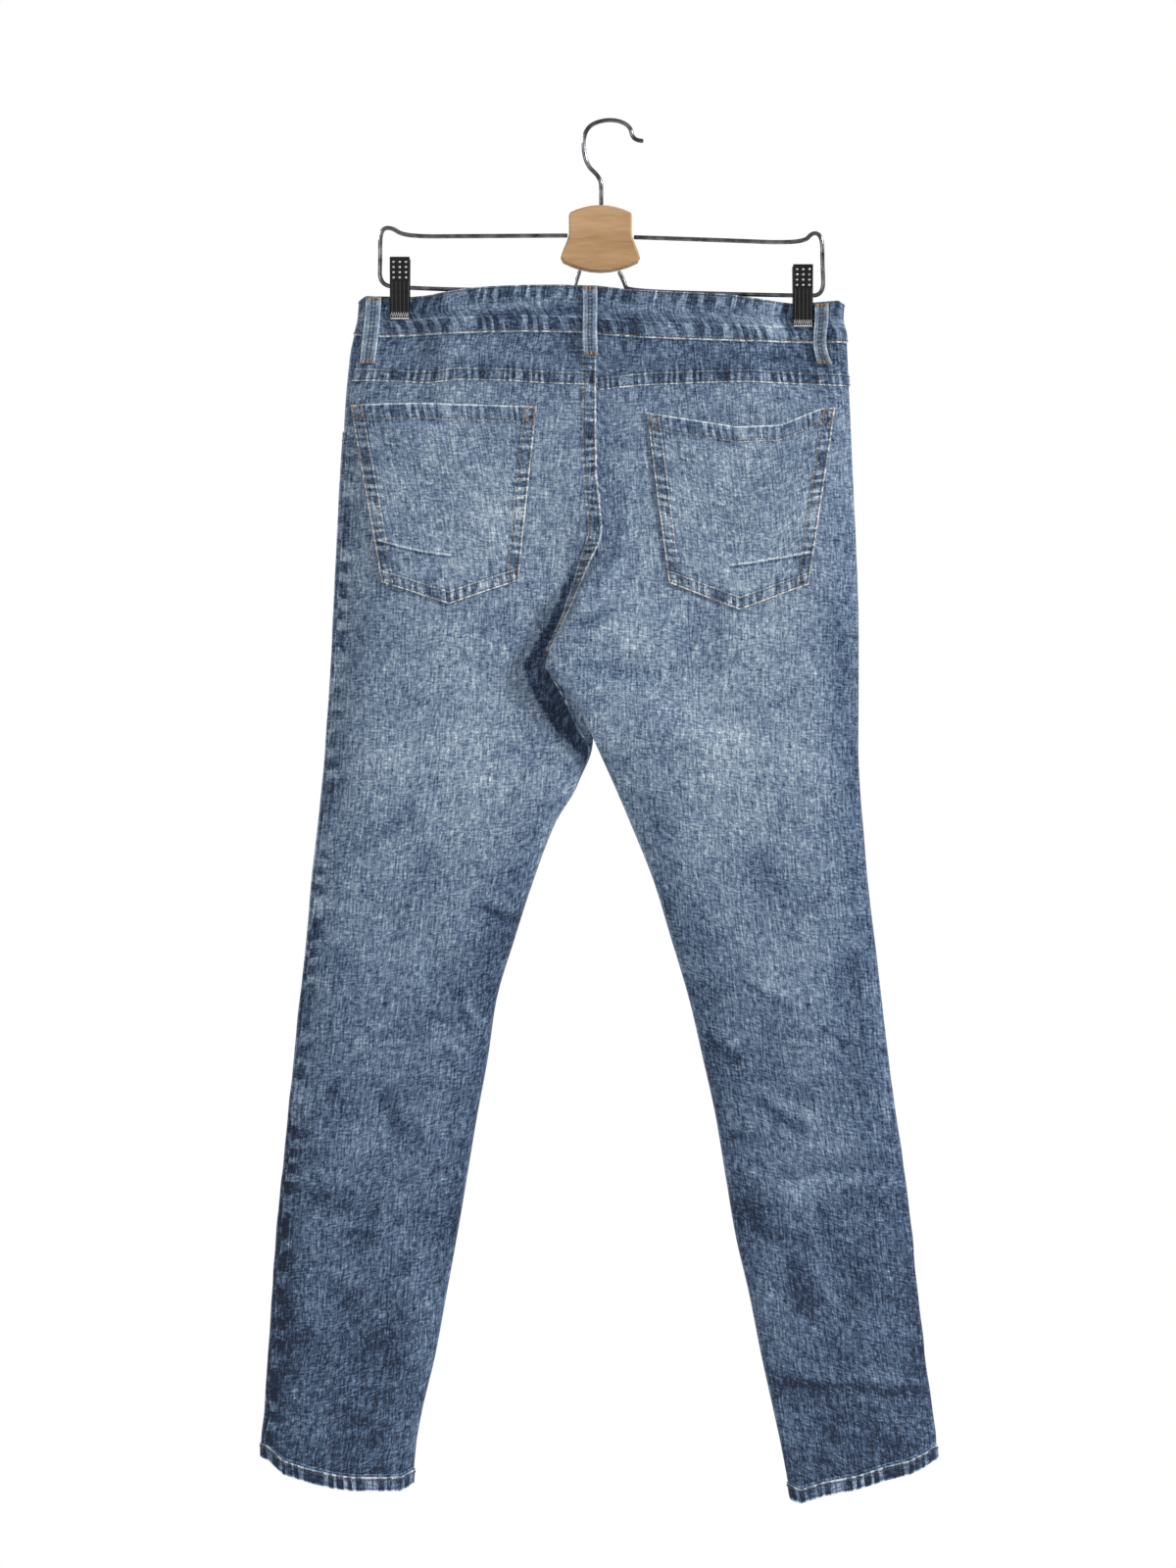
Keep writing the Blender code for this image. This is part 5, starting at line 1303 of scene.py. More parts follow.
@dataclass(frozen=True)
class ThreadFinish:
    """Twisted sewing thread, paler and darker by turns."""

    name: str
    dark: tuple[float, float, float]
    pale: tuple[float, float, float]

    def material(self) -> bpy.types.Material:
        """Thread whose colour wanders along the rows."""
        made, graph, shader = principled(self.name)
        place = graph.add("ShaderNodeTexCoord").outputs["Object"]
        value = graph.total(graph.noise(place, 160.0, 3.0, 0.7), 0.5)
        graph.feed(shader.inputs["Base Color"], graph.ramp(value, ((0.32, self.dark), (0.68, self.pale))))
        shader.inputs["Roughness"].default_value = 0.8
        return made


@dataclass(frozen=True)
class MetalFinish:
    """Polished or aged metal with faint drawn streaks."""

    name: str
    dark: tuple[float, float, float]
    pale: tuple[float, float, float]
    roughness: float
    metallic: float = 1.0
    scale: float = 90.0

    def material(self) -> bpy.types.Material:
        """Metal whose colour and roughness vary a little."""
        made, graph, shader = principled(self.name)
        place = graph.add("ShaderNodeTexCoord").outputs["Object"]
        streak = graph.total(graph.noise(place, self.scale, 4.0, 0.6), 0.5)
        graph.feed(shader.inputs["Base Color"], graph.ramp(streak, ((0.30, self.dark), (0.70, self.pale))))
        rough = graph.step(streak, 0.2, 0.8, self.roughness * 0.7, self.roughness * 1.4)
        graph.feed(shader.inputs["Roughness"], rough)
        shader.inputs["Metallic"].default_value = self.metallic
        return made


@dataclass(frozen=True)
class WoodFinish:
    """Lacquered pale wood with fine level grain."""

    name: str
    dark: tuple[float, float, float]
    middle: tuple[float, float, float]
    pale: tuple[float, float, float]

    def material(self) -> bpy.types.Material:
        """Grain stretched along X: fine and broad noise on a ramp from dark to pale, with a faint bump from
        the fine grain.
        """
        made, graph, shader = principled(self.name)
        place = graph.add("ShaderNodeTexCoord").outputs["Object"]
        fine = graph.noise(graph.scaled(place, 60.0, 300.0, 520.0), 1.0, 4.0, 0.6)
        broad = graph.noise(graph.scaled(place, 14.0, 60.0, 95.0), 1.0, 3.0, 0.55)
        value = graph.total(graph.times(fine, 0.5), graph.times(broad, 0.9), 0.5)
        stops = ((0.2, self.dark), (0.5, self.middle), (0.8, self.pale))
        graph.feed(shader.inputs["Base Color"], graph.ramp(value, stops))
        graph.bump(shader, fine, 0.25, 0.0004)
        shader.inputs["Roughness"].default_value = 0.42
        shader.inputs["Coat Weight"].default_value = 0.25
        shader.inputs["Coat Roughness"].default_value = 0.25
        return made


TAN_THREAD = ThreadFinish("tan thread", linear(66, 56, 46), linear(134, 110, 82))
DARK_THREAD = ThreadFinish("dark thread", linear(48, 44, 42), linear(100, 86, 70))
OLIVE_THREAD = ThreadFinish("olive thread", linear(56, 52, 44), linear(104, 96, 76))
BRIGHT_THREAD = ThreadFinish("bright thread", linear(132, 92, 54), linear(186, 142, 92))


@dataclass
class Stitching:
    """Rows of short sewn stitches, each a low hump that dips into the cloth at both ends."""

    length: float = 2.7
    pitch: float = 3.5
    radius: float = 0.56
    rows: list = field(default_factory=list)

    def add(self, line: tuple[Array, Array], keep: Any = slice(None)) -> None:
        """Keeps one row, or the part of it wanted: points and normals of its path in millimetres."""
        self.rows.append((line[0][keep], line[1][keep]))

    def follow(
        self, cloth: Cloth, edges: Sequence[Edge], distances: Sequence[float], rise: float = DENIM / 2,
    ) -> None:
        """Sews rows along edges of a piece, at each distance from them."""
        for distance in distances:
            for edge in edges:
                self.add(cloth.row(edge, distance, rise))

    def row_points(self, points: Array, normals: Array) -> Array:
        """Ring points of every stitch of a row.

        The stitches part the path evenly, about a pitch each. Four rings of four points each sit at shares
        -1, -0.5, 0.5 and 1 of a stitch's half length, raised by 0.35 of the radius in the middle.

        Args:
            points: path of the row.
            normals: outward normals along it.

        Returns:
            Points, stitches by rings by sides by 3.
        """
        steps = np.linalg.norm(np.diff(points, axis=0), axis=-1)
        run = np.concatenate([[0.0], np.cumsum(steps)])
        count = max(int(run[-1] / self.pitch), 1)
        middle = (np.arange(count) + 0.5) * run[-1] / count
        ring = np.array([-1.0, -0.5, 0.5, 1.0])
        place = middle[:, None] + ring * self.length / 2
        centre = np.stack([np.interp(place, run, points[:, k]) for k in range(3)], axis=-1)
        up = unit(np.stack([np.interp(place, run, normals[:, k]) for k in range(3)], axis=-1))
        along = unit(centre[:, -1:] - centre[:, :1])
        side = unit(np.cross(up, along))
        centre = centre + up * (self.radius * np.array([-0.35, 0.35, 0.35, -0.35]))[:, None]
        angle = np.arange(4) * math.pi / 2 + math.pi / 4
        size = self.radius * np.array([0.6, 1.0, 1.0, 0.6])[:, None, None]
        side, up = side[:, :, None, :], up[:, :, None, :]
        across = np.cos(angle)[:, None] * side + np.sin(angle)[:, None] * up
        return centre[:, :, None, :] + across * size

    def build(self, name: str, finish: ThreadFinish, slot: str) -> bpy.types.Object:
        """All kept rows as one mesh."""
        stitches = np.concatenate([self.row_points(*row) for row in self.rows])
        self.rows.clear()
        count = len(stitches)
        ring = np.arange(4)
        after = (ring + 1) % 4
        side = np.stack([ring, after, 4 + after, 4 + ring], axis=-1)
        tube = [side + level * 4 for level in range(3)]
        caps = np.array([[3, 2, 1, 0], [12, 13, 14, 15]])
        one = np.concatenate(tube + [caps])
        faces = (one[None] + np.arange(count)[:, None, None] * 16).reshape(-1, 4)
        piece = new_piece(name, stitches, faces)
        piece.data.shade_smooth()
        piece.data.materials.append(finish.material())
        declare(piece)
        return piece


@dataclass
class Wardrobe:
    """What every cloth piece shares: the two node groups."""

    weave: bpy.types.NodeTree
    wear: bpy.types.NodeTree

    def dress(
        self, cloth: Cloth, wall: float, tone: Array, finish: DenimFinish, node: str,
        drawn: Optional[Array] = None,
    ) -> bpy.types.Object:
        piece = cloth.build(wall, tone, drawn)
        piece.data.materials.append(finish.material(self.weave, self.wear))
        declare(piece, node)
        flat, area = cloth.cut()
        area = max(area, LEAST_CUT_SHARE * flat[0] * flat[1])
        LOG.info("%s: %.0f by %.0f mm of cloth", cloth.name, flat[0] / MM, flat[1] / MM)
        return piece


PANEL_FOOT = Band(Edge.FOOT, 3.0, 60.0, 0.4, 1.1, 0.9)


@dataclass
class LegPanels:
    """The four long panels, from yoke or waist to hem."""

    columns: int = 76
    rows: int = 320
    band: float = 11.5
    bottom: float = -1180.0
    bottom_fade: float = -620.0

    def grid(self, panel: Panel, top_edge: Any, bottom_edge: Any, top: float, top_fade: float) -> Array:
        """Grid whose rows are level between the two edge lines and bend to follow them near the ends."""
        heights = np.linspace(top, self.bottom, self.rows)
        share = panel.even_shares(heights, self.columns)
        base = np.broadcast_to(heights[:, None], share.shape)
        keep_top = np.clip((base - top_fade) / (top - top_fade), 0, 1)
        keep_bottom = np.clip((self.bottom_fade - base) / (self.bottom_fade - self.bottom), 0, 1)
        z = base
        for _ in range(STRIP_ROUNDS):
            x = panel.point(share, z)[..., 0]
            z = base + (top_edge(x[:1]) - top) * keep_top + (bottom_edge(x[-1:]) - self.bottom) * keep_bottom
        return panel.point(share, z)

    def build(self, wardrobe: Wardrobe, thread: Stitching) -> None:
        """Makes and dresses the four panels."""
        for name, panel in (("back_left", BACK_LEFT), ("back_right", BACK_RIGHT)):
            self.back(name, panel, wardrobe, thread)
        for name, panel in (("front_left", FRONT_LEFT), ("front_right", FRONT_RIGHT)):
            self.front(name, panel, wardrobe, thread)

    def back(self, name: str, panel: Panel, wardrobe: Wardrobe, thread: Stitching) -> None:
        """A back panel; the left one carries the felled seat seam and the painted shadow of the right leg's
        fold.
        """
        grid = self.grid(panel, lambda x: line_height(YOKE_SEAM, x), self.hem_line(panel), -226, -320)
        cloth = Cloth(f"{name}_panel", grid, panel.out)
        if not panel.left:
            bands = (Band(Edge.RIGHT, 0.4, 90.0, 0.8, 0.3, 0.8), PANEL_FOOT)
            finish = DenimFinish(f"{name} denim", bands)
            wardrobe.dress(cloth, DENIM, self.tone(panel, cloth), finish, name)
            return
        seat = ease((cloth.grid[..., 2] - FORK_Z - 4) / 12)
        band = ease((self.band + 1 - cloth.reach[Edge.RIGHT]) / 2.5) * seat
        bumps = 0.22 * np.sin(cloth.grid[..., 2] * 0.71) * np.sin(cloth.grid[..., 2] * 0.23)
        cloth.lift(band * (0.75 + bumps))
        for distance in FELL_ROWS:
            line = cloth.row(Edge.RIGHT, distance, DENIM / 2)
            thread.add(line, line[0][:, 2] > FORK_Z + 6)
        cloth.reach[Edge.RIGHT] = cloth.reach[Edge.RIGHT] + 60 * (1 - seat)
        bands = (
            Band(Edge.RIGHT, self.band, 112.0, 1.0, 1.2, 0.9), Band(Edge.LEFT, 8.5, 37.0, 0.95, 0.25, 0.0),
            PANEL_FOOT,
        )
        beside = ease((cloth.reach[Edge.RIGHT] - self.band) / 3) + (1 - seat)
        # Painted shadow of the right leg's fold, taken off the left panel's tone.
        shade = fork_shade(cloth.grid[..., 0], cloth.grid[..., 2]) * np.clip(beside, 0, 1)
        tone = self.tone(panel, cloth) - 0.40 * shade
        wardrobe.dress(cloth, DENIM, tone, DenimFinish(f"{name} denim", bands), name)

    def front(self, name: str, panel: Panel, wardrobe: Wardrobe, thread: Stitching) -> None:
        """A front panel, its top edge scooped out below the waist seam for the pocket mouth."""
        outer = pocket_side(panel)
        grid = self.grid(
            panel, lambda x: front_waist(WAIST_SEAM, x) - scoop_depth(np.abs(x - outer)),
            self.hem_line(panel), -200, -430,
        )
        cloth = Cloth(f"{name}_panel", grid, panel.out)
        thread.follow(cloth, (Edge.TOP,), FRONT_ROWS)
        bands = (
            Band(Edge.TOP, 9.5, 112.0), Band(Edge.RIGHT, 2.0, 60.0, 1.0, 0.3),
            Band(Edge.LEFT, 1.0, 40.0, 1.0, 0.0),
        )
        finish = DenimFinish(f"{name} denim", bands)
        wardrobe.dress(cloth, DENIM, self.tone(panel, cloth), finish, name)

    def hem_line(self, panel: Panel) -> Callable[[Array], Array]:
        """Height of a panel's lower edge at every x."""
        marks = LEFT_HEM if panel.left else RIGHT_HEM
        return lambda x: line_height(marks, x) + HEM_HEIGHT

    def tone(self, panel: Panel, cloth: Cloth) -> Array:
        """Tone of a panel: the garment's own fade, paler on ridges and darker in troughs as partly worn cloth
        and partly painted crease shade and light.
        """
        x, z = cloth.grid[..., 0], cloth.grid[..., 2]
        fine = relief(panel.detail, x, z)
        # Back: painted streaks of crease shade and light. Both faces: paler ridges and darker troughs, partly
        # wear and partly painted crease shade and light.
        lines = relief(BACK_CREASE_SHADING, x, z) if panel.face is Face.BACK else 0.07 * fine
        worn = lines + 0.03 * fine + 0.014 * relief(panel.folds, x, z) + 0.05 * ripple(x, z)
        return tone_of(cloth.grid) + worn


def pocket_side(panel: Panel) -> float:
    """The x of the side seam at the height of the front pocket mouths."""
    hip = HIPS[4]
    return hip.left if panel.left else hip.right


def scoop_depth(inset: Array) -> Array:
    """Drop of the front pocket mouth below the waist seam: a flattened quarter oval."""
    return SCOOP_DEPTH * (1 - np.clip(inset / SCOOP_WIDTH, 0, 1) ** 2) ** 0.75


@dataclass
class Yokes:
    """The two shaped pieces between waistband and back panels, felled over the panels."""

    columns: int = 90
    rows: int = 24
    band: float = 10.5

    def build(self, wardrobe: Wardrobe, thread: Stitching) -> None:
        """Makes both yokes; the lower band lifts over the panel's edge and laps it by a millimetre."""
        for name, panel in (("yoke_left", BACK_LEFT), ("yoke_right", BACK_RIGHT)):
            grid = panel.strip(
                -205.0, self.rows, self.columns,
                lambda x, down: mix(line_height(WAIST_SEAM, x), line_height(YOKE_SEAM, x) - 1.0, down),
            )
            grid[..., 1] += panel.out * relief(YOKE_CREASES, grid[..., 0], grid[..., 2])
            cloth = Cloth(f"{name}_cloth", grid, panel.out)
            bumps = 0.2 * np.sin(grid[..., 0] * 0.66) * np.sin(grid[..., 0] * 0.19 + 1)
            lap = ease((self.band + 1 - cloth.reach[Edge.FOOT]) / 2.5) * (0.9 + bumps)
            bands = (Band(Edge.FOOT, self.band, 116.0, 1.1, 0.9), Band(Edge.TOP, 0.6, 74.0, 0.7, 0.9))
            if panel.left:
                lap = np.maximum(lap, ease((12.5 - cloth.reach[Edge.RIGHT]) / 2.5) * 0.75)
                bands += (Band(Edge.RIGHT, 11.5, 112.0),)
            cloth.lift(lap)
            thread.follow(cloth, (Edge.FOOT,), (1.7, 9.0))
            if panel.left:
                thread.follow(cloth, (Edge.RIGHT,), FELL_ROWS)
            tone = tone_of(grid)
            # Paler on the creases' ridges and darker in their troughs: partly wear, partly painted crease
            # shade and light.
            tone += 0.08 * relief(YOKE_CREASES, grid[..., 0], grid[..., 2])
            wardrobe.dress(cloth, DENIM, tone, DenimFinish(f"{name} denim", bands), name)


@dataclass
class Waistband:
    """The band round the waist, its left end lapped over its right end at the front."""

    columns: int = 110
    rows: int = 22

    def strip(self, panel: Panel, outwards: bool) -> Array:
        """Part of the band above one panel: rows mix from the top line to the seam line."""
        line = line_height if panel.face is Face.BACK else front_waist
        grid = panel.strip(
            -168.0, self.rows, self.columns,
            lambda x, down: mix(line(WAIST_TOP, x), line(WAIST_SEAM, x) - 0.8, down), -170.0,
        )
        if panel.face is Face.BACK:
            room = ease((np.abs(grid[..., 1]) - 3) / 3)
            grid[..., 1] += panel.out * relief(BAND_CREASES, grid[..., 0], grid[..., 2]) * room
        return grid[:, ::-1] if outwards else grid

    def build(self, wardrobe: Wardrobe, top_thread: Stitching, foot_thread: Stitching) -> None:
        """Makes the band and its two rows of stitching."""
        order = ((FRONT_RIGHT, True), (BACK_RIGHT, False), (BACK_LEFT, True), (FRONT_LEFT, False))
        strips = [self.strip(panel, outwards) for panel, outwards in order]
        grid = np.concatenate([strips[0]] + [strip[:, 1:] for strip in strips[1:]], axis=1)
        lap = BAND_WALL + 0.45
        fade = ease(1 - np.arange(grid.shape[1]) / 26.0)
        grid[..., 1] -= lap * fade
        tuck = grid[:, :1] + np.linspace(-34.0, -3.0, 9)[None, :, None] * np.array([1.0, 0.0, 0.0])
        grid = np.concatenate([tuck, grid], axis=1)
        cloth = Cloth("waistband_cloth", grid, -1.0)
        x = grid[..., 0]
        bumps = 0.25 * np.sin(x * 0.62) * np.sin(x * 0.21 + 0.7)
        sewn = np.maximum(ease((11.0 - cloth.reach[Edge.TOP]) / 3), ease((12.5 - cloth.reach[Edge.FOOT]) / 3))
        free = ease((np.abs(grid[..., 1]) - 2.4) / 3)
        cloth.lift((0.15 + 0.55 * sewn + bumps * sewn) * free)
        top_thread.add(cloth.row(Edge.TOP, 1.5, BAND_WALL / 2))
        foot_thread.add(cloth.row(Edge.FOOT, 1.8, BAND_WALL / 2))
        bands = (Band(Edge.TOP, 11.0, 74.0, 0.85, 0.4, 0.3), Band(Edge.FOOT, 14.0, 74.0, 0.85, 1.0, 0.3))
        finish = DenimFinish("waistband denim", bands, shift=0.03)
        # Paler on the creases' ridges and darker in their troughs: partly wear, partly painted crease shade
        # and light.
        tone = tone_of(grid) + 0.16 * relief(BAND_CREASES, x, grid[..., 2])
        tone -= 0.10 * np.exp(-(((x + 16) / 22) ** 2)) * (grid[..., 1] < 0)
        wardrobe.dress(
            cloth, BAND_WALL, tone, finish, "waistband",
        )


@dataclass
class Hems:
    """The turned-up ring at the foot of each leg, roped by its stitching."""

    columns: int = 80
    rows: int = 12

    def build(self, wardrobe: Wardrobe, thread: Stitching) -> None:
        """Makes both rings."""
        for name, back, front, marks in (
            ("hem_left", BACK_LEFT, FRONT_LEFT, LEFT_HEM), ("hem_right", BACK_RIGHT, FRONT_RIGHT, RIGHT_HEM),
        ):
            strips = []
            for panel in (back, front):
                strips.append(panel.strip(
                    -1185.0, self.rows, self.columns,
                    lambda x, down: line_height(marks, x) + (HEM_HEIGHT + 0.9) * (1 - down),
                ))
            grid = np.concatenate([strips[0], strips[1][:, -2::-1]], axis=1)
            grid[:, -1] = grid[:, 0]
            cloth = Cloth(f"{name}_cloth", grid, -1.0 if grid[0, 40, 1] < 0 else 1.0, ring=True)
            cloth.normal = self.outward(cloth)
            x = grid[..., 0]
            rope = 0.30 * np.sin(x * 0.60 + cloth.reach[Edge.TOP] * 0.35) * np.sin(x * 0.17 + 1)
            cloth.grid = cloth.grid + cloth.normal * (0.35 + rope)[..., None]
            cloth.grid[:, -1] = cloth.grid[:, 0]
            thread.add(cloth.row(Edge.TOP, 2.6, HEM_WALL / 2))
            bands = (Band(Edge.TOP, 12.5, 94.0, 1.15, 1.2, 0.0), Band(Edge.FOOT, 0.8, 94.0, 0.6, 0.7, 0.6))
            finish = DenimFinish(f"{name} denim", bands, shift=0.12)
            tone = tone_of(grid)
            wardrobe.dress(cloth, HEM_WALL, tone, finish, name)

    def outward(self, cloth: Cloth) -> Array:
        """Normals turned so that they point away from the middle of the ring."""
        middle = cloth.grid.mean(axis=1, keepdims=True)
        way = np.sign(np.sum((cloth.grid - middle) * cloth.normal))
        cloth.outward = cloth.outward * way
        return cloth.normal * way


@dataclass
class BackPocket:
    """Patch pocket: mouth line, three lower corners and a slanted slit."""

    side: Side
    mouth: tuple[Mark, ...]
    inner_low: Mark
    tip: Mark
    outer_low: Mark
    slit: tuple[Mark, Mark]
    slit_bow: float = 2.0
    columns: int = 84
    rows: int = 84
    corner: float = 10.5

    def build(
        self, wardrobe: Wardrobe, thread: Stitching, mouth_thread: Stitching, tack: Stitching,
    ) -> None:
        """Makes the pocket on its panel: turned edges, a hemmed mouth, sewn corners and the slit's fold."""
        across, down = np.meshgrid(np.linspace(0, 1, self.columns), np.linspace(0, 1, self.rows))
        left = mix(self.mouth[0].x, self.inner_low.x, down)
        right = mix(self.mouth[-1].x, self.outer_low.x, down)
        x = mix(left, right, across)
        tip_share = (self.tip.x - self.inner_low.x) / (self.outer_low.x - self.inner_low.x)
        foot = np.interp(across, (0, tip_share, 1), (self.inner_low.z, self.tip.z, self.outer_low.z))
        z = mix(line_height(self.mouth, mix(self.mouth[0].x, self.mouth[-1].x, across)), foot, down)
        panel = BACK_LEFT if self.side is Side.LEFT else BACK_RIGHT
        grid = np.stack([x, panel.point(panel.share_at(x, z), z)[..., 1], z], axis=-1)
        name = f"back_pocket_{self.side.value}"
        cloth = Cloth(f"{name}_cloth", grid, -1.0)
        edge = np.minimum.reduce([cloth.reach[which] for which in (Edge.LEFT, Edge.RIGHT, Edge.FOOT)])
        bumps = 0.22 * np.sin((x + z) * 0.52) * np.sin((x - z) * 0.17)
        border = ease((11.5 - edge) / 3)
        hem = ease((13.5 - cloth.reach[Edge.TOP]) / 3)
        slope = (self.slit[1].z - self.slit[0].z) / (self.slit[1].x - self.slit[0].x)
        along = (x - self.slit[0].x) / (self.slit[1].x - self.slit[0].x)
        inside = np.clip(along, 0, 1)
        off = z - (self.slit[0].z + slope * (x - self.slit[0].x)) + self.slit_bow * 4 * inside * (1 - inside)
        window = ease(along * 12 + 0.5) * ease((1 - along) * 4)
        fold = 0.9 * window * np.where(off > 0, np.exp(-((off / 9) ** 2)), np.exp(-((off / 1.6) ** 2)))
        amount = DENIM + LAY_GAP + (0.55 + bumps) * np.maximum(border, hem) + fold
        amount = amount + relief(POCKET_CREASES[self.side], x, z) * ease(edge / 14)
        cloth.lift(amount)
        drawn = np.where(window > 0.03, -off, NO_LINE)
        thread.follow(cloth, (Edge.LEFT, Edge.FOOT, Edge.RIGHT), POCKET_ROWS)
        mouth_thread.add(cloth.row(Edge.TOP, 12.6, DENIM / 2))
        self.tack_corners(cloth, tack)
        bands = (
            Band(Edge.LEFT, 10.6, 100.0), Band(Edge.RIGHT, 10.6, 100.0), Band(Edge.FOOT, 10.6, 100.0),
            Band(Edge.TOP, 13.2, 112.0, 0.8, 1.3, 0.9),
        )
        # Paler on the creases' ridges and darker in their troughs: partly wear, partly painted crease shade
        # and light.
        tone = tone_of(grid) + 0.05 * relief(POCKET_CREASES[self.side], x, z)
        wardrobe.dress(
            cloth, DENIM, tone, DenimFinish(f"{name} denim", bands), name, drawn,
        )

    def tack_corners(self, cloth: Cloth, tack: Stitching) -> None:
        """Sews a small box at both ends of the mouth."""
        for distance in (1.8, 12.0):
            line = cloth.row(Edge.TOP, distance, DENIM)
            run = np.linalg.norm(line[0] - line[0][0], axis=-1)
            tack.add(line, run < self.corner)
            tack.add(line, run > run[-1] - self.corner)
        for which in (Edge.LEFT, Edge.RIGHT):
            for distance in POCKET_ROWS:
                line = cloth.row(which, distance, DENIM)
                tack.add(line, line[0][:, 2] > line[0][:, 2].max() - self.corner - 2)


BACK_POCKETS = (
    BackPocket(
        Side.LEFT, LEFT_POCKET_MOUTH, Mark(-196.9, -402.5), Mark(-138.5, -421.4), Mark(-78.3, -400.8),
        (Mark(-199.5, -365.5), Mark(-134.0, -379.0)),
    ),
    BackPocket(
        Side.RIGHT, RIGHT_POCKET_MOUTH, Mark(53.3, -403.3), Mark(115.2, -426.6), Mark(175.4, -404.2),
        (Mark(175.4, -376.0), Mark(103.2, -388.0)), 1.0,
    ),
)


class LoopSpot(NamedTuple):
    """Belt loop: the face it lies on, its middle at the top and foot, and the sideways bow between."""

    name: str
    face: Face
    top: Mark
    foot: Mark
    bow: float
    wave: float


LOOPS = (
    LoopSpot("belt_loop_back", Face.BACK, Mark(-15.5, -143.2), Mark(-14.4, -204.0), -0.5, 0.4),
    LoopSpot("belt_loop_back_left", Face.BACK, Mark(-205.2, -152.5), Mark(-210.4, -210.5), 0.5, 0.3),
    LoopSpot("belt_loop_back_right", Face.BACK, Mark(187.8, -157.5), Mark(190.8, -211.0), -2.5, 1.2),
    LoopSpot("belt_loop_front_left", Face.FRONT, Mark(-98.0, -153.0), Mark(-98.5, -219.0), 0.6, 0.4),
    LoopSpot("belt_loop_front_right", Face.FRONT, Mark(86.0, -158.0), Mark(86.5, -222.0), -0.6, 0.4),
)


@dataclass
class BeltLoops:
    """Narrow straps over the waistband, arched clear of it between their sewn ends."""

    rows: int = 44
    columns: int = 13

    def build(self, wardrobe: Wardrobe, thread: Stitching, tack: Stitching) -> None:
        """Makes the loops with two rows of stitching down the middle and a tack across each foot."""
        for loop in LOOPS:
            across, t = np.meshgrid(np.linspace(-0.5, 0.5, self.columns), np.linspace(0, 1, self.rows))
            arch = np.sin(np.pi * t)
            wave = loop.wave * np.sin(2 * np.pi * t)
            x = mix(loop.top.x, loop.foot.x, t) + loop.bow * arch + wave + across * LOOP_WIDTH
            z = mix(loop.top.z, loop.foot.z, t)
            outward = -1.0 if loop.face is Face.BACK else 1.0
            cloth = Cloth(f"{loop.name}_cloth", face_points(loop.face, x, z), outward)
            ridge = 0.35 * ease((np.abs(across) - 0.16) / 0.1) * ease((0.5 - np.abs(across)) / 0.08)
            cloth.lift(BAND_WALL / 2 + LOOP_WALL / 2 + LAY_GAP + 1.4 * arch**2 + ridge)
            thread.follow(cloth, (Edge.LEFT,), (LOOP_WIDTH * 0.40, LOOP_WIDTH * 0.60), LOOP_WALL / 2)
            tack.follow(cloth, (Edge.FOOT, Edge.TOP), (0.8, 1.6, 2.4), LOOP_WALL / 2)
            bands = tuple(Band(edge, 0.4, 90.0, 0.4, 0.4, 0.0) for edge in (Edge.LEFT, Edge.RIGHT))
            finish = DenimFinish(f"{loop.name} denim", bands, mottle=0.6)
            tone = 0.56 - 0.20 * np.exp(-(((np.abs(across) - 0.13) / 0.06) ** 2)) + 0.05 * np.sin(t * 19)
            wardrobe.dress(cloth, LOOP_WALL, tone, finish, loop.name)


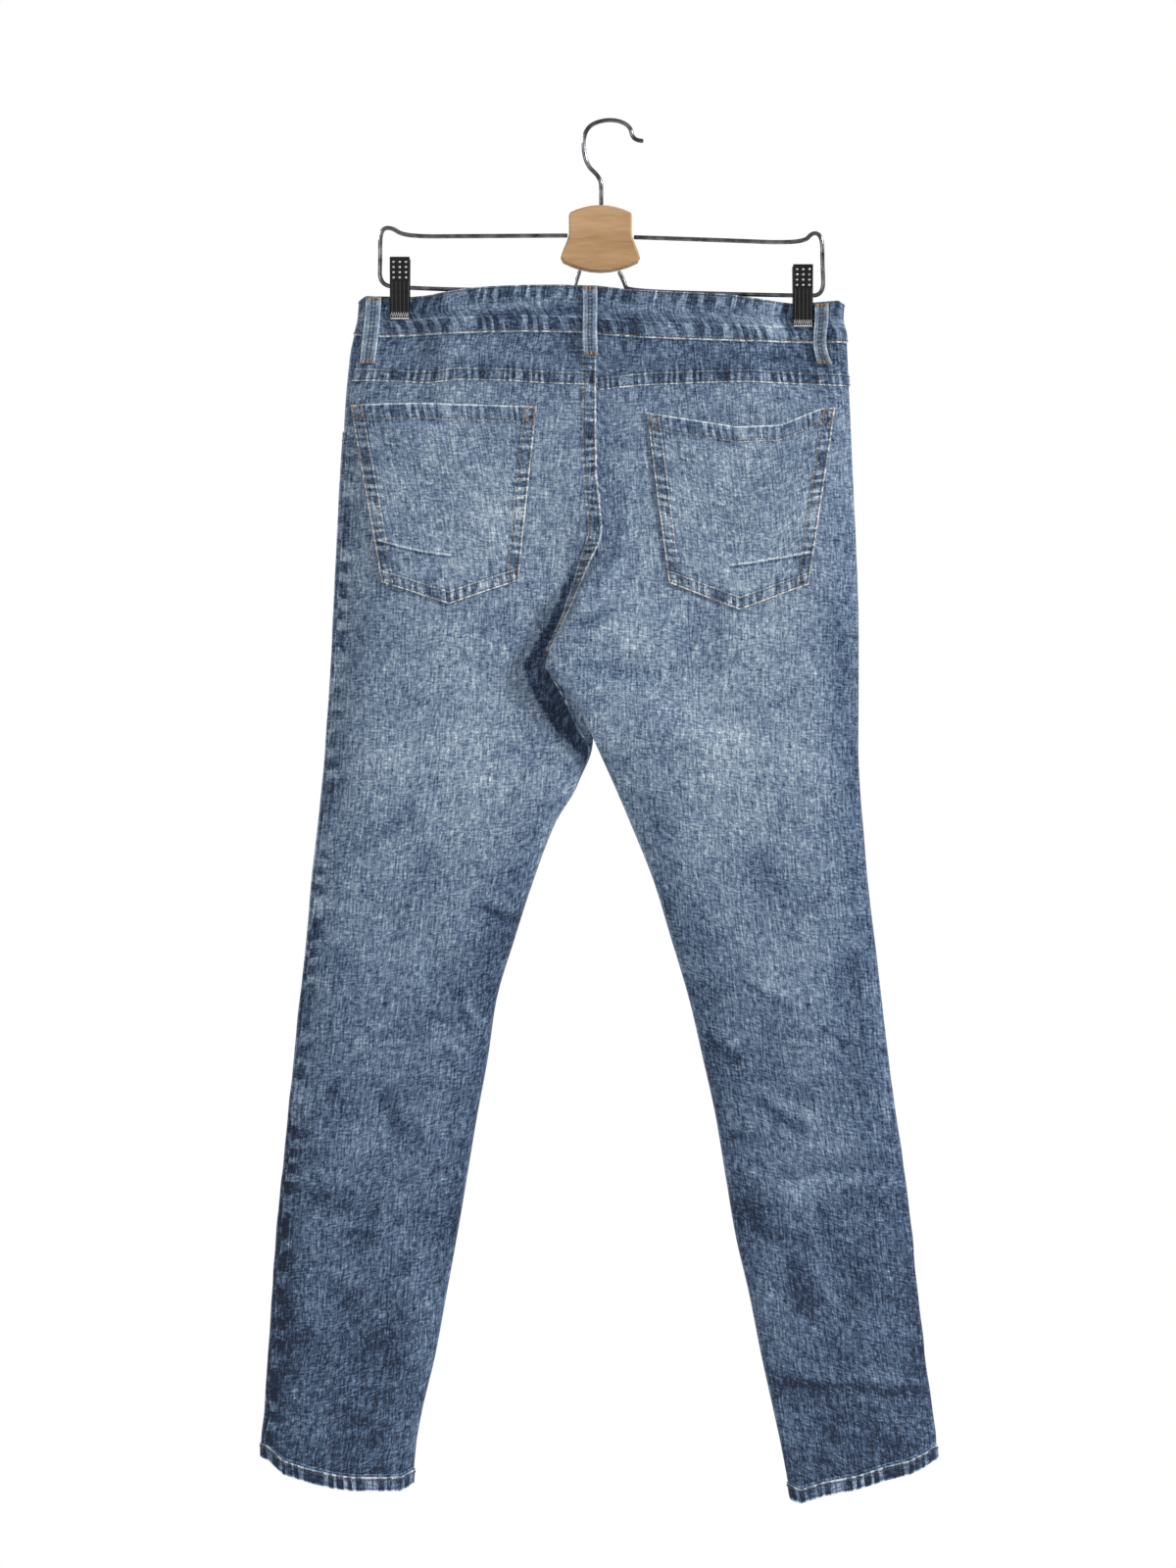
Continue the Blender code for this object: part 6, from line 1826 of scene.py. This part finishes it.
@dataclass
class FrontPieces:
    """Hip pieces in the front pocket mouths, the fly and the waist button."""

    columns: int = 48
    rows: int = 40
    button_radius: float = 8.5
    button_sides: int = 40
    button_height: float = 3.2

    def build(self, wardrobe: Wardrobe, thread: Stitching) -> None:
        """Makes the front's small pieces."""
        for panel in (FRONT_LEFT, FRONT_RIGHT):
            name = f"pocket_facing_{panel.side.value}"
            outer = pocket_side(panel)
            way = 1.0 if panel.left else -1.0
            reach = outer + way * (SCOOP_WIDTH + FACING_UNDERLAP)
            last = float(panel.share_at(np.array([reach]), np.array([-230.0]))[0])
            share = panel.even_shares(np.array([-225.0]), 161)[0]
            share = share[share < last]
            share = np.interp(np.linspace(0, 1, self.columns), np.linspace(0, 1, len(share)), share)
            share = np.broadcast_to(share, (self.rows, self.columns))
            down = np.broadcast_to(np.linspace(0, 1, self.rows)[:, None], share.shape)
            z = np.full(share.shape, -230.0)
            for _ in range(8):
                x = panel.point(share, z)[..., 0]
                inset = np.abs(x - outer)
                under = ease((inset - 2) / 10)
                upper = front_waist(WAIST_SEAM, x)
                lower = upper - scoop_depth(inset) - ease((inset - 24) / 16) * FACING_UNDERLAP
                z = mix(upper, lower, down)
            cloth = Cloth(f"{name}_cloth", panel.point(share, z), 1.0)
            cloth.lift(-under * (DENIM + LAY_GAP))
            tone = tone_of(cloth.grid)
            finish = DenimFinish(f"{name} denim", (Band(Edge.TOP, 0.6, 110.0, 0.7, 0.6, 1.0),))
            wardrobe.dress(cloth, DENIM, tone, finish, name)
        self.build_fly(wardrobe, thread)
        self.build_button()

    def build_fly(self, wardrobe: Wardrobe, thread: Stitching) -> None:
        """The fly piece with its curved foot and two rows of stitching."""
        across, down = np.meshgrid(np.linspace(0, 1, 24), np.linspace(0, 1, 64))
        x = RISE_X + 4.0 - across * FLY_WIDTH
        top = front_waist(WAIST_SEAM, x) - 0.3
        z = mix(top, top - FLY_DROP * (1 - 0.32 * across**2.2), down)
        grid = face_points(Face.FRONT, x, z)
        cloth = Cloth("fly_cloth", grid, 1.0)
        cloth.lift(np.full(x.shape, DENIM + LAY_GAP))
        thread.follow(cloth, (Edge.RIGHT, Edge.FOOT), FRONT_ROWS)
        thread.add(cloth.row(Edge.LEFT, 2.0, DENIM / 2))
        finish = DenimFinish("fly denim", (Band(Edge.LEFT, 3.0), Band(Edge.RIGHT, 9.8), Band(Edge.FOOT, 9.8)))
        wardrobe.dress(cloth, DENIM, tone_of(grid), finish, "fly")

    def build_button(self) -> None:
        """The waist button, turned about Y: a shank, a rolled rim and a dished face with a plain boss."""
        x = RISE_X - 10.0
        z = (float(front_waist(WAIST_TOP, x)) + float(front_waist(WAIST_SEAM, x))) / 2
        seat = float(face_points(Face.FRONT, np.array([x]), np.array([z]))[0, 1]) + BAND_WALL / 2 + LAY_GAP
        radius, height = self.button_radius, self.button_height
        profile = np.array([
            (0.0, 0.0), (0.0, 4.0), (0.8, 4.0), (0.9, radius - 1), (1.3, radius - 0.2), (1.9, radius),
            (height - 0.6, radius - 0.1), (height - 0.1, radius - 0.7), (height, radius - 1.3),
            (height - 0.3, radius - 1.9), (height - 0.9, radius - 2.4), (height - 1.0, 3.4),
            (height - 0.7, 2.6), (height - 0.5, 1.4), (height - 0.45, 0.0),
        ])
        turned = rings_about_y(profile, self.button_sides) + np.array([x, seat, z])
        piece = lathe_mesh("waist_button_metal", turned, len(profile), self.button_sides)
        brass = MetalFinish("aged brass", linear(120, 92, 58), linear(196, 168, 122), 0.34, scale=900.0)
        piece.data.materials.append(brass.material())
        declare(piece, "waist_button")
        LOG.info("waist button: %.0f mm across", 2 * radius)


def rings_about_y(profile: Array, sides: int) -> Array:
    """A profile of (height along Y, radius) carried round the Y axis: points, rings by sides by 3."""
    angle = np.arange(sides) * 2 * math.pi / sides
    rise, radius = profile[:, 0][:, None], profile[:, 1][:, None]
    return np.stack([radius * np.cos(angle), rise + 0 * angle, radius * np.sin(angle)], axis=-1)


def lathe_mesh(name: str, points: Array, rings: int, sides: int) -> bpy.types.Object:
    """Mesh of rings of points, each joined to the next, doubles at the poles merged and faces outwards."""
    piece = new_piece(name, points, ring_quads(rings, sides))
    tidy_mesh(piece.data)
    return piece


def tidy_mesh(mesh: bpy.types.Mesh, sharp: float = 35.0) -> None:
    """Merges doubles, turns faces outwards and shades smooth up to an angle."""
    work = bmesh.new()
    work.from_mesh(mesh)
    bmesh.ops.remove_doubles(work, verts=work.verts, dist=1e-6)
    bmesh.ops.dissolve_degenerate(work, edges=work.edges, dist=1e-7)
    bmesh.ops.recalc_face_normals(work, faces=work.faces)
    work.to_mesh(mesh)
    work.free()
    mesh.shade_smooth()
    mesh.set_sharp_from_angle(angle=math.radians(sharp))


class JawRow(NamedTuple):
    """Section of a clip's jaw: height from the bar, and depths of its inner and outer faces."""

    z: float
    inner: float
    outer: float


JAW = table_of(
    JawRow,
    (26.0, 8.6, 11.4), (25.0, 8.4, 12.0), (6.0, 4.6, 9.4), (3.2, 2.3, 9.2), (-3.2, 2.3, 8.9),
    (-5.6, 3.9, 8.6), (-12.0, 3.3, 8.2), (-27.2, 3.3, 6.9), (-28.0, 3.6, 6.2),
)
LEFT_WIRE = (
    (-35.0, -97.5), (-120.0, -98.0), (-178.0, -98.4), (-190.0, -90.0), (-199.5, -92.0), (-199.5, -118.0),
    (-200.0, -141.0), (-180.0, -143.2), (-127.0, -145.2), (-29.0, -146.0), (-28.5, -140.0), (-24.5, -128.1),
)
RIGHT_WIRE = (
    (22.8, -99.0), (100.0, -101.5), (172.0, -104.5), (180.0, -94.0), (188.5, -98.0), (188.5, -122.0),
    (190.0, -150.0), (171.0, -150.2), (110.0, -149.0), (16.5, -146.0), (15.5, -140.0), (10.0, -128.8),
)
HOOK = (
    (-5.6, -70.9), (-5.6, -60.0), (-5.8, -47.0), (-20.5, -34.0), (-21.5, -3.0), (0.0, 5.5), (20.0, 0.0),
    (22.0, -14.5), (31.5, -14.5),
)


@dataclass
class Hanger:
    """Wooden block with its hook, a bent wire on each side, and a clip on each wire."""

    wire_radius: float = 1.9
    wire_sides: int = 14
    jaw_width: float = 17.5

    def route(self, corners: Sequence[tuple[float, float]], step: float) -> Array:
        """Quadratic spline through bend points in the hanger's plane, read at even steps."""
        bends = np.array(corners, dtype=float)
        starts = np.concatenate([bends[:1], (bends[1:-2] + bends[2:-1]) / 2])
        ends = np.concatenate([(bends[1:-2] + bends[2:-1]) / 2, bends[-1:]])
        t = np.linspace(0, 1, 24, endpoint=False)[None, :, None]
        line = (1 - t) ** 2 * starts[:, None] + 2 * t * (1 - t) * bends[1:-1, None] + t**2 * ends[:, None]
        line = np.concatenate([line.reshape(-1, 2), bends[-1:]])
        run = np.concatenate([[0], np.cumsum(np.linalg.norm(np.diff(line, axis=0), axis=1))])
        even = np.linspace(0, run[-1], max(2, int(round(run[-1] / step))) + 1)
        return np.stack([np.interp(even, run, line[:, k]) for k in range(2)], axis=-1)

    def wire(self, name: str, corners: Sequence[tuple[float, float]]) -> bpy.types.Object:
        """Round wire along a route: circles square to the path, with rounded ends."""
        path = self.route(corners, 2.2)
        tangent = unit(np.gradient(path, axis=0))
        end_a = [path[0] + tangent[0] * self.wire_radius * k for k in (0.0, 0.08, 0.4)]
        end_b = [path[-1] - tangent[-1] * self.wire_radius * k for k in (0.4, 0.08, 0.0)]
        centre = np.concatenate([end_a, path[1:-1], end_b])
        tangent = np.concatenate([tangent[[0, 0, 0]], tangent[1:-1], tangent[[-1, -1, -1]]])
        size = np.full(len(centre), self.wire_radius)
        size[[0, -1]] = 0.0
        size[[1, -2]] = self.wire_radius * 0.75
        angle = np.arange(self.wire_sides) * 2 * math.pi / self.wire_sides
        side = np.stack([-tangent[:, 1], 0 * tangent[:, 0], tangent[:, 0]], axis=-1)[:, None]
        middle = np.stack([centre[:, 0], 0 * centre[:, 0], centre[:, 1]], axis=-1)[:, None]
        ring = side * np.cos(angle)[:, None] + np.array([0.0, 1.0, 0.0]) * np.sin(angle)[:, None]
        points = (middle + ring * size[:, None, None]).reshape(-1, 3)
        return lathe_mesh(name, points, len(centre), self.wire_sides)

    def build(self) -> None:
        """Makes wires, hook, block and clips."""
        chrome = MetalFinish("plated wire", linear(54, 54, 58), linear(150, 151, 156), 0.18).material()
        for name, node, corners in (
            ("wire_left", "hanger_wire_left", LEFT_WIRE), ("wire_right", "hanger_wire_right", RIGHT_WIRE),
            ("wire_hook", "hanger_hook", HOOK),
        ):
            piece = self.wire(name, corners)
            piece.data.materials.append(chrome)
            declare(piece, node)
            LOG.info("%s built", name)
        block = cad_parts["hanger_block"]
        wood = WoodFinish("pale wood", linear(150, 112, 72), linear(176, 139, 98), linear(192, 158, 118))
        block.data.materials.clear()
        block.data.materials.append(wood.material())
        for side, clip_x, bar_z in (("left", LEFT_CLIP_X, LEFT_BAR_Z), ("right", RIGHT_CLIP_X, RIGHT_BAR_Z)):
            for face, out in (("back", -1.0), ("front", 1.0)):
                self.clip(f"clip_{side}_{face}", clip_x, bar_z, out)

    def clip(self, node: str, clip_x: float, bar_z: float, out: float) -> None:
        """One jaw: fluted plate, rows of bumps on its head and a toothed foot.

        The plate is a grid over width and height. Its outer face stands at the profile's depth less a groove
        of half a millimetre at each of five flutes; its inner face follows the plain profile.
        """
        heights, inner, outer = (column(JAW, name)[::-1] for name in JawRow._fields)
        level = np.unique(np.concatenate([np.linspace(heights[-1], heights[0], 40), heights]))[::-1]
        u, v = np.meshgrid(np.linspace(-1, 1, 61), level)
        round_off = ease((np.abs(u) - 0.9) / 0.1)
        flute = 0.7 * np.clip(np.cos(u * math.pi * 5), 0, 1) ** 0.5 * ease((8 - v) / 3) * ease((v + 24) / 2)
        depth_out = np.interp(v, heights, outer) - round_off - flute * (np.abs(u) < 0.92)
        depth_in = np.interp(v, heights, inner)
        x = clip_x + u * self.jaw_width / 2
        front = np.stack([x, out * depth_out, bar_z + v], axis=-1)
        rear = np.stack([x, out * depth_in, bar_z + v], axis=-1)
        count = u.size
        index = np.arange(count).reshape(u.shape)
        quads = grid_quads(index)
        faces = [quads, quads[:, ::-1] + count]
        for line in (index[0], index[:, -1], index[-1, ::-1], index[::-1, 0]):
            faces.append(np.stack([line[:-1], line[1:], line[1:] + count, line[:-1] + count], axis=-1))
        piece = new_piece(f"{node}_jaw", np.stack([front, rear]), np.concatenate(faces))
        tidy_mesh(piece.data, 30)
        black = MetalFinish("black moulding", linear(6, 6, 7), linear(14, 14, 15), 0.2, 0.0, 60.0)
        piece.data.materials.append(black.material())
        declare(piece, node)
        self.trim(node, clip_x, bar_z, out)
        LOG.info("%s built", node)

    def trim(self, node: str, clip_x: float, bar_z: float, out: float) -> None:
        """Bumps on the head in four rows of three, and a zigzag of bright teeth with a bar at the foot."""
        half = self.jaw_width / 2
        bump = rings_about_y(np.array([(0.0, 1.0), (0.5, 0.9), (0.85, 0.6), (1.0, 0.0)]), 10)
        bump = bump * np.array([1.25, out, 1.0])
        spots_x, spots_z = np.meshgrid(np.array([-0.62, 0.0, 0.62]) * half, np.array([21.5, 17.0, 12.5, 8.0]))
        base = np.interp(spots_z, (6.0, 25.0), (9.4, 12.0)) - 0.2
        centre = np.stack([clip_x + spots_x, out * base, bar_z + spots_z], axis=-1).reshape(-1, 1, 1, 3)
        faces = (ring_quads(4, 10)[None] + np.arange(12)[:, None, None] * 40).reshape(-1, 4)
        bumps = new_piece(f"{node}_bumps", centre + bump, faces)
        tidy_mesh(bumps.data, 60)
        bright = MetalFinish("bright bumps", linear(150, 150, 152), linear(235, 235, 236), 0.2, 0.3, 500.0)
        bumps.data.materials.append(bright.material())
        zig = np.linspace(-0.92, 0.92, 17)
        rise = np.where(np.arange(17) % 2 == 0, -26.4, -22.6)
        path = np.stack([clip_x + zig * half, np.full(17, out * 7.5), bar_z + rise], axis=-1)
        foot = np.stack([clip_x + zig * half, np.full(17, out * 6.6), np.full(17, bar_z - 27.6)], axis=-1)
        teeth = self.ribbon(f"{node}_teeth", [path, foot], 0.6)
        bright = MetalFinish("bright teeth", linear(170, 170, 172), linear(235, 235, 236), 0.3, 0.2, 600.0)
        teeth.data.materials.append(bright.material())
        for piece in (bumps, teeth):
            declare(piece)

    def ribbon(self, name: str, paths: Sequence[Array], size: float) -> bpy.types.Object:
        """Square bars along paths in planes across Y: four offsets of each point, closed at the ends."""
        corner = np.array([(0.0, -1.0, -1.0), (0.0, 1.0, -1.0), (0.0, 1.0, 1.0), (0.0, -1.0, 1.0)]) * size
        points = np.concatenate([path[:, None] + corner for path in paths])
        faces = []
        start = 0
        for path in paths:
            ends = np.arange(4) + np.array([[0], [len(path) * 4 - 4]])
            faces += [ring_quads(len(path), 4) + start, np.stack([ends[0], ends[1, ::-1]]) + start]
            start += len(path) * 4
        piece = new_piece(name, points, np.concatenate(faces))
        tidy_mesh(piece.data, 30)
        return piece


class Lamp(NamedTuple):
    """Square area light: its place in metres, the length of its side and its power in watts."""

    name: str
    place: tuple[float, float, float]
    size: float
    power: float


LAMPS = table_of(
    Lamp,
    ("key", (5.0, -2.7, 1.9), 0.8, 350.0), ("fill", (-2.6, -3.2, 0.3), 2.2, 40.0),
    ("front_key", (-4.2, 3.4, 1.4), 1.0, 250.0), ("front_fill", (2.6, 3.2, 0.3), 2.2, 30.0),
)


@dataclass
class Studio:
    """Camera square to the back, a pale floor below and soft lights on both sides of the cloth."""

    pixel: float = 0.86
    distance: float = 4200.0
    frame_height: float = 1600.0
    middle: tuple[float, float] = (-17.2, -578.8)
    floor_z: float = -1.6
    floor_half: float = 1.1
    seen_white: float = 1.0
    soft_white: float = 0.45

    def build(self) -> None:
        """Makes the camera, the floor, the lights and the white room; colours are shown as they are."""
        bpy.context.scene.view_settings.view_transform = "Standard"
        self.camera()
        self.floor()
        for lamp in LAMPS:
            self.light(lamp)
        self.room()

    def camera(self) -> None:
        """Camera on the frame's middle, its lens set so that a pixel is 0.86 mm at the hanger's plane."""
        data = bpy.data.cameras.new("camera")
        data.sensor_width = 36.0
        data.lens = 36.0 * self.distance / (self.frame_height * self.pixel)
        camera = bpy.data.objects.new("camera", data)
        camera.location = (self.middle[0] * MM, -self.distance * MM, self.middle[1] * MM)
        camera.rotation_euler = (math.pi / 2, 0.0, 0.0)
        bpy.context.collection.objects.link(camera)
        bpy.context.scene.camera = camera

    def floor(self) -> None:
        """Square floor on the level floor_z, floor_half to each side."""
        half = self.floor_half
        corners = np.array([(-half, -half), (half, -half), (half, half), (-half, half)])
        points = np.concatenate([corners, np.full((4, 1), self.floor_z)], axis=1)
        mesh = bpy.data.meshes.new("floor")
        mesh.from_pydata(points, [], [(0, 1, 2, 3)])
        floor = bpy.data.objects.new("floor", mesh)
        bpy.context.collection.objects.link(floor)
        made, _, shader = principled("pale floor")
        shader.inputs["Base Color"].default_value = (0.92, 0.92, 0.92, 1.0)
        shader.inputs["Roughness"].default_value = 0.9
        mesh.materials.append(made)

    def room(self) -> None:
        """White all round: full strength where the camera sees it, softer as light on the cloth."""
        world = bpy.data.worlds.new("white room")
        world.use_nodes = True
        graph = Graph(world.node_tree)
        seen = graph.add("ShaderNodeLightPath").outputs["Is Camera Ray"]
        background = world.node_tree.nodes["Background"]
        background.inputs["Color"].default_value = WHITE
        strength = graph.step(seen, 0.0, 1.0, self.soft_white, self.seen_white)
        graph.feed(background.inputs["Strength"], strength)
        bpy.context.scene.world = world

    def light(self, lamp: Lamp) -> None:
        """Makes one light, turned to the middle of the jeans."""
        data = bpy.data.lights.new(lamp.name, "AREA")
        data.size = lamp.size
        data.energy = lamp.power
        light = bpy.data.objects.new(lamp.name, data)
        light.location = lamp.place
        target = np.array([self.middle[0] * MM, 0.0, self.middle[1] * MM])
        way = target - np.array(lamp.place)
        level = math.hypot(way[0], way[1])
        light.rotation_euler = (math.atan2(level, -way[2]), 0.0, math.atan2(way[1], way[0]) - math.pi / 2)
        light.visible_camera = False
        bpy.context.collection.objects.link(light)


def main() -> None:
    """Builds every sub-assembly in order and reports each."""
    logging.basicConfig(level=logging.INFO, format="%(message)s")
    wardrobe = Wardrobe(denim_weave_group(), seam_wear_group())
    tan, dark, olive, bright = Stitching(), Stitching(), Stitching(), Stitching()
    LegPanels().build(wardrobe, tan)
    Yokes().build(wardrobe, dark)
    Waistband().build(wardrobe, olive, tan)
    Hems().build(wardrobe, olive)
    for pocket in BACK_POCKETS:
        pocket.build(wardrobe, tan, olive, bright)
    BeltLoops().build(wardrobe, dark, bright)
    FrontPieces().build(wardrobe, tan)
    tan.build("tan_stitching", TAN_THREAD, "denim")
    dark.build("dark_stitching", DARK_THREAD, "denim")
    olive.build("olive_stitching", OLIVE_THREAD, "denim")
    bright.build("bright_stitching", BRIGHT_THREAD, "denim")
    LOG.info("stitching sewn")
    Hanger().build()
    Studio().build()


if __name__ == "__main__":
    main()
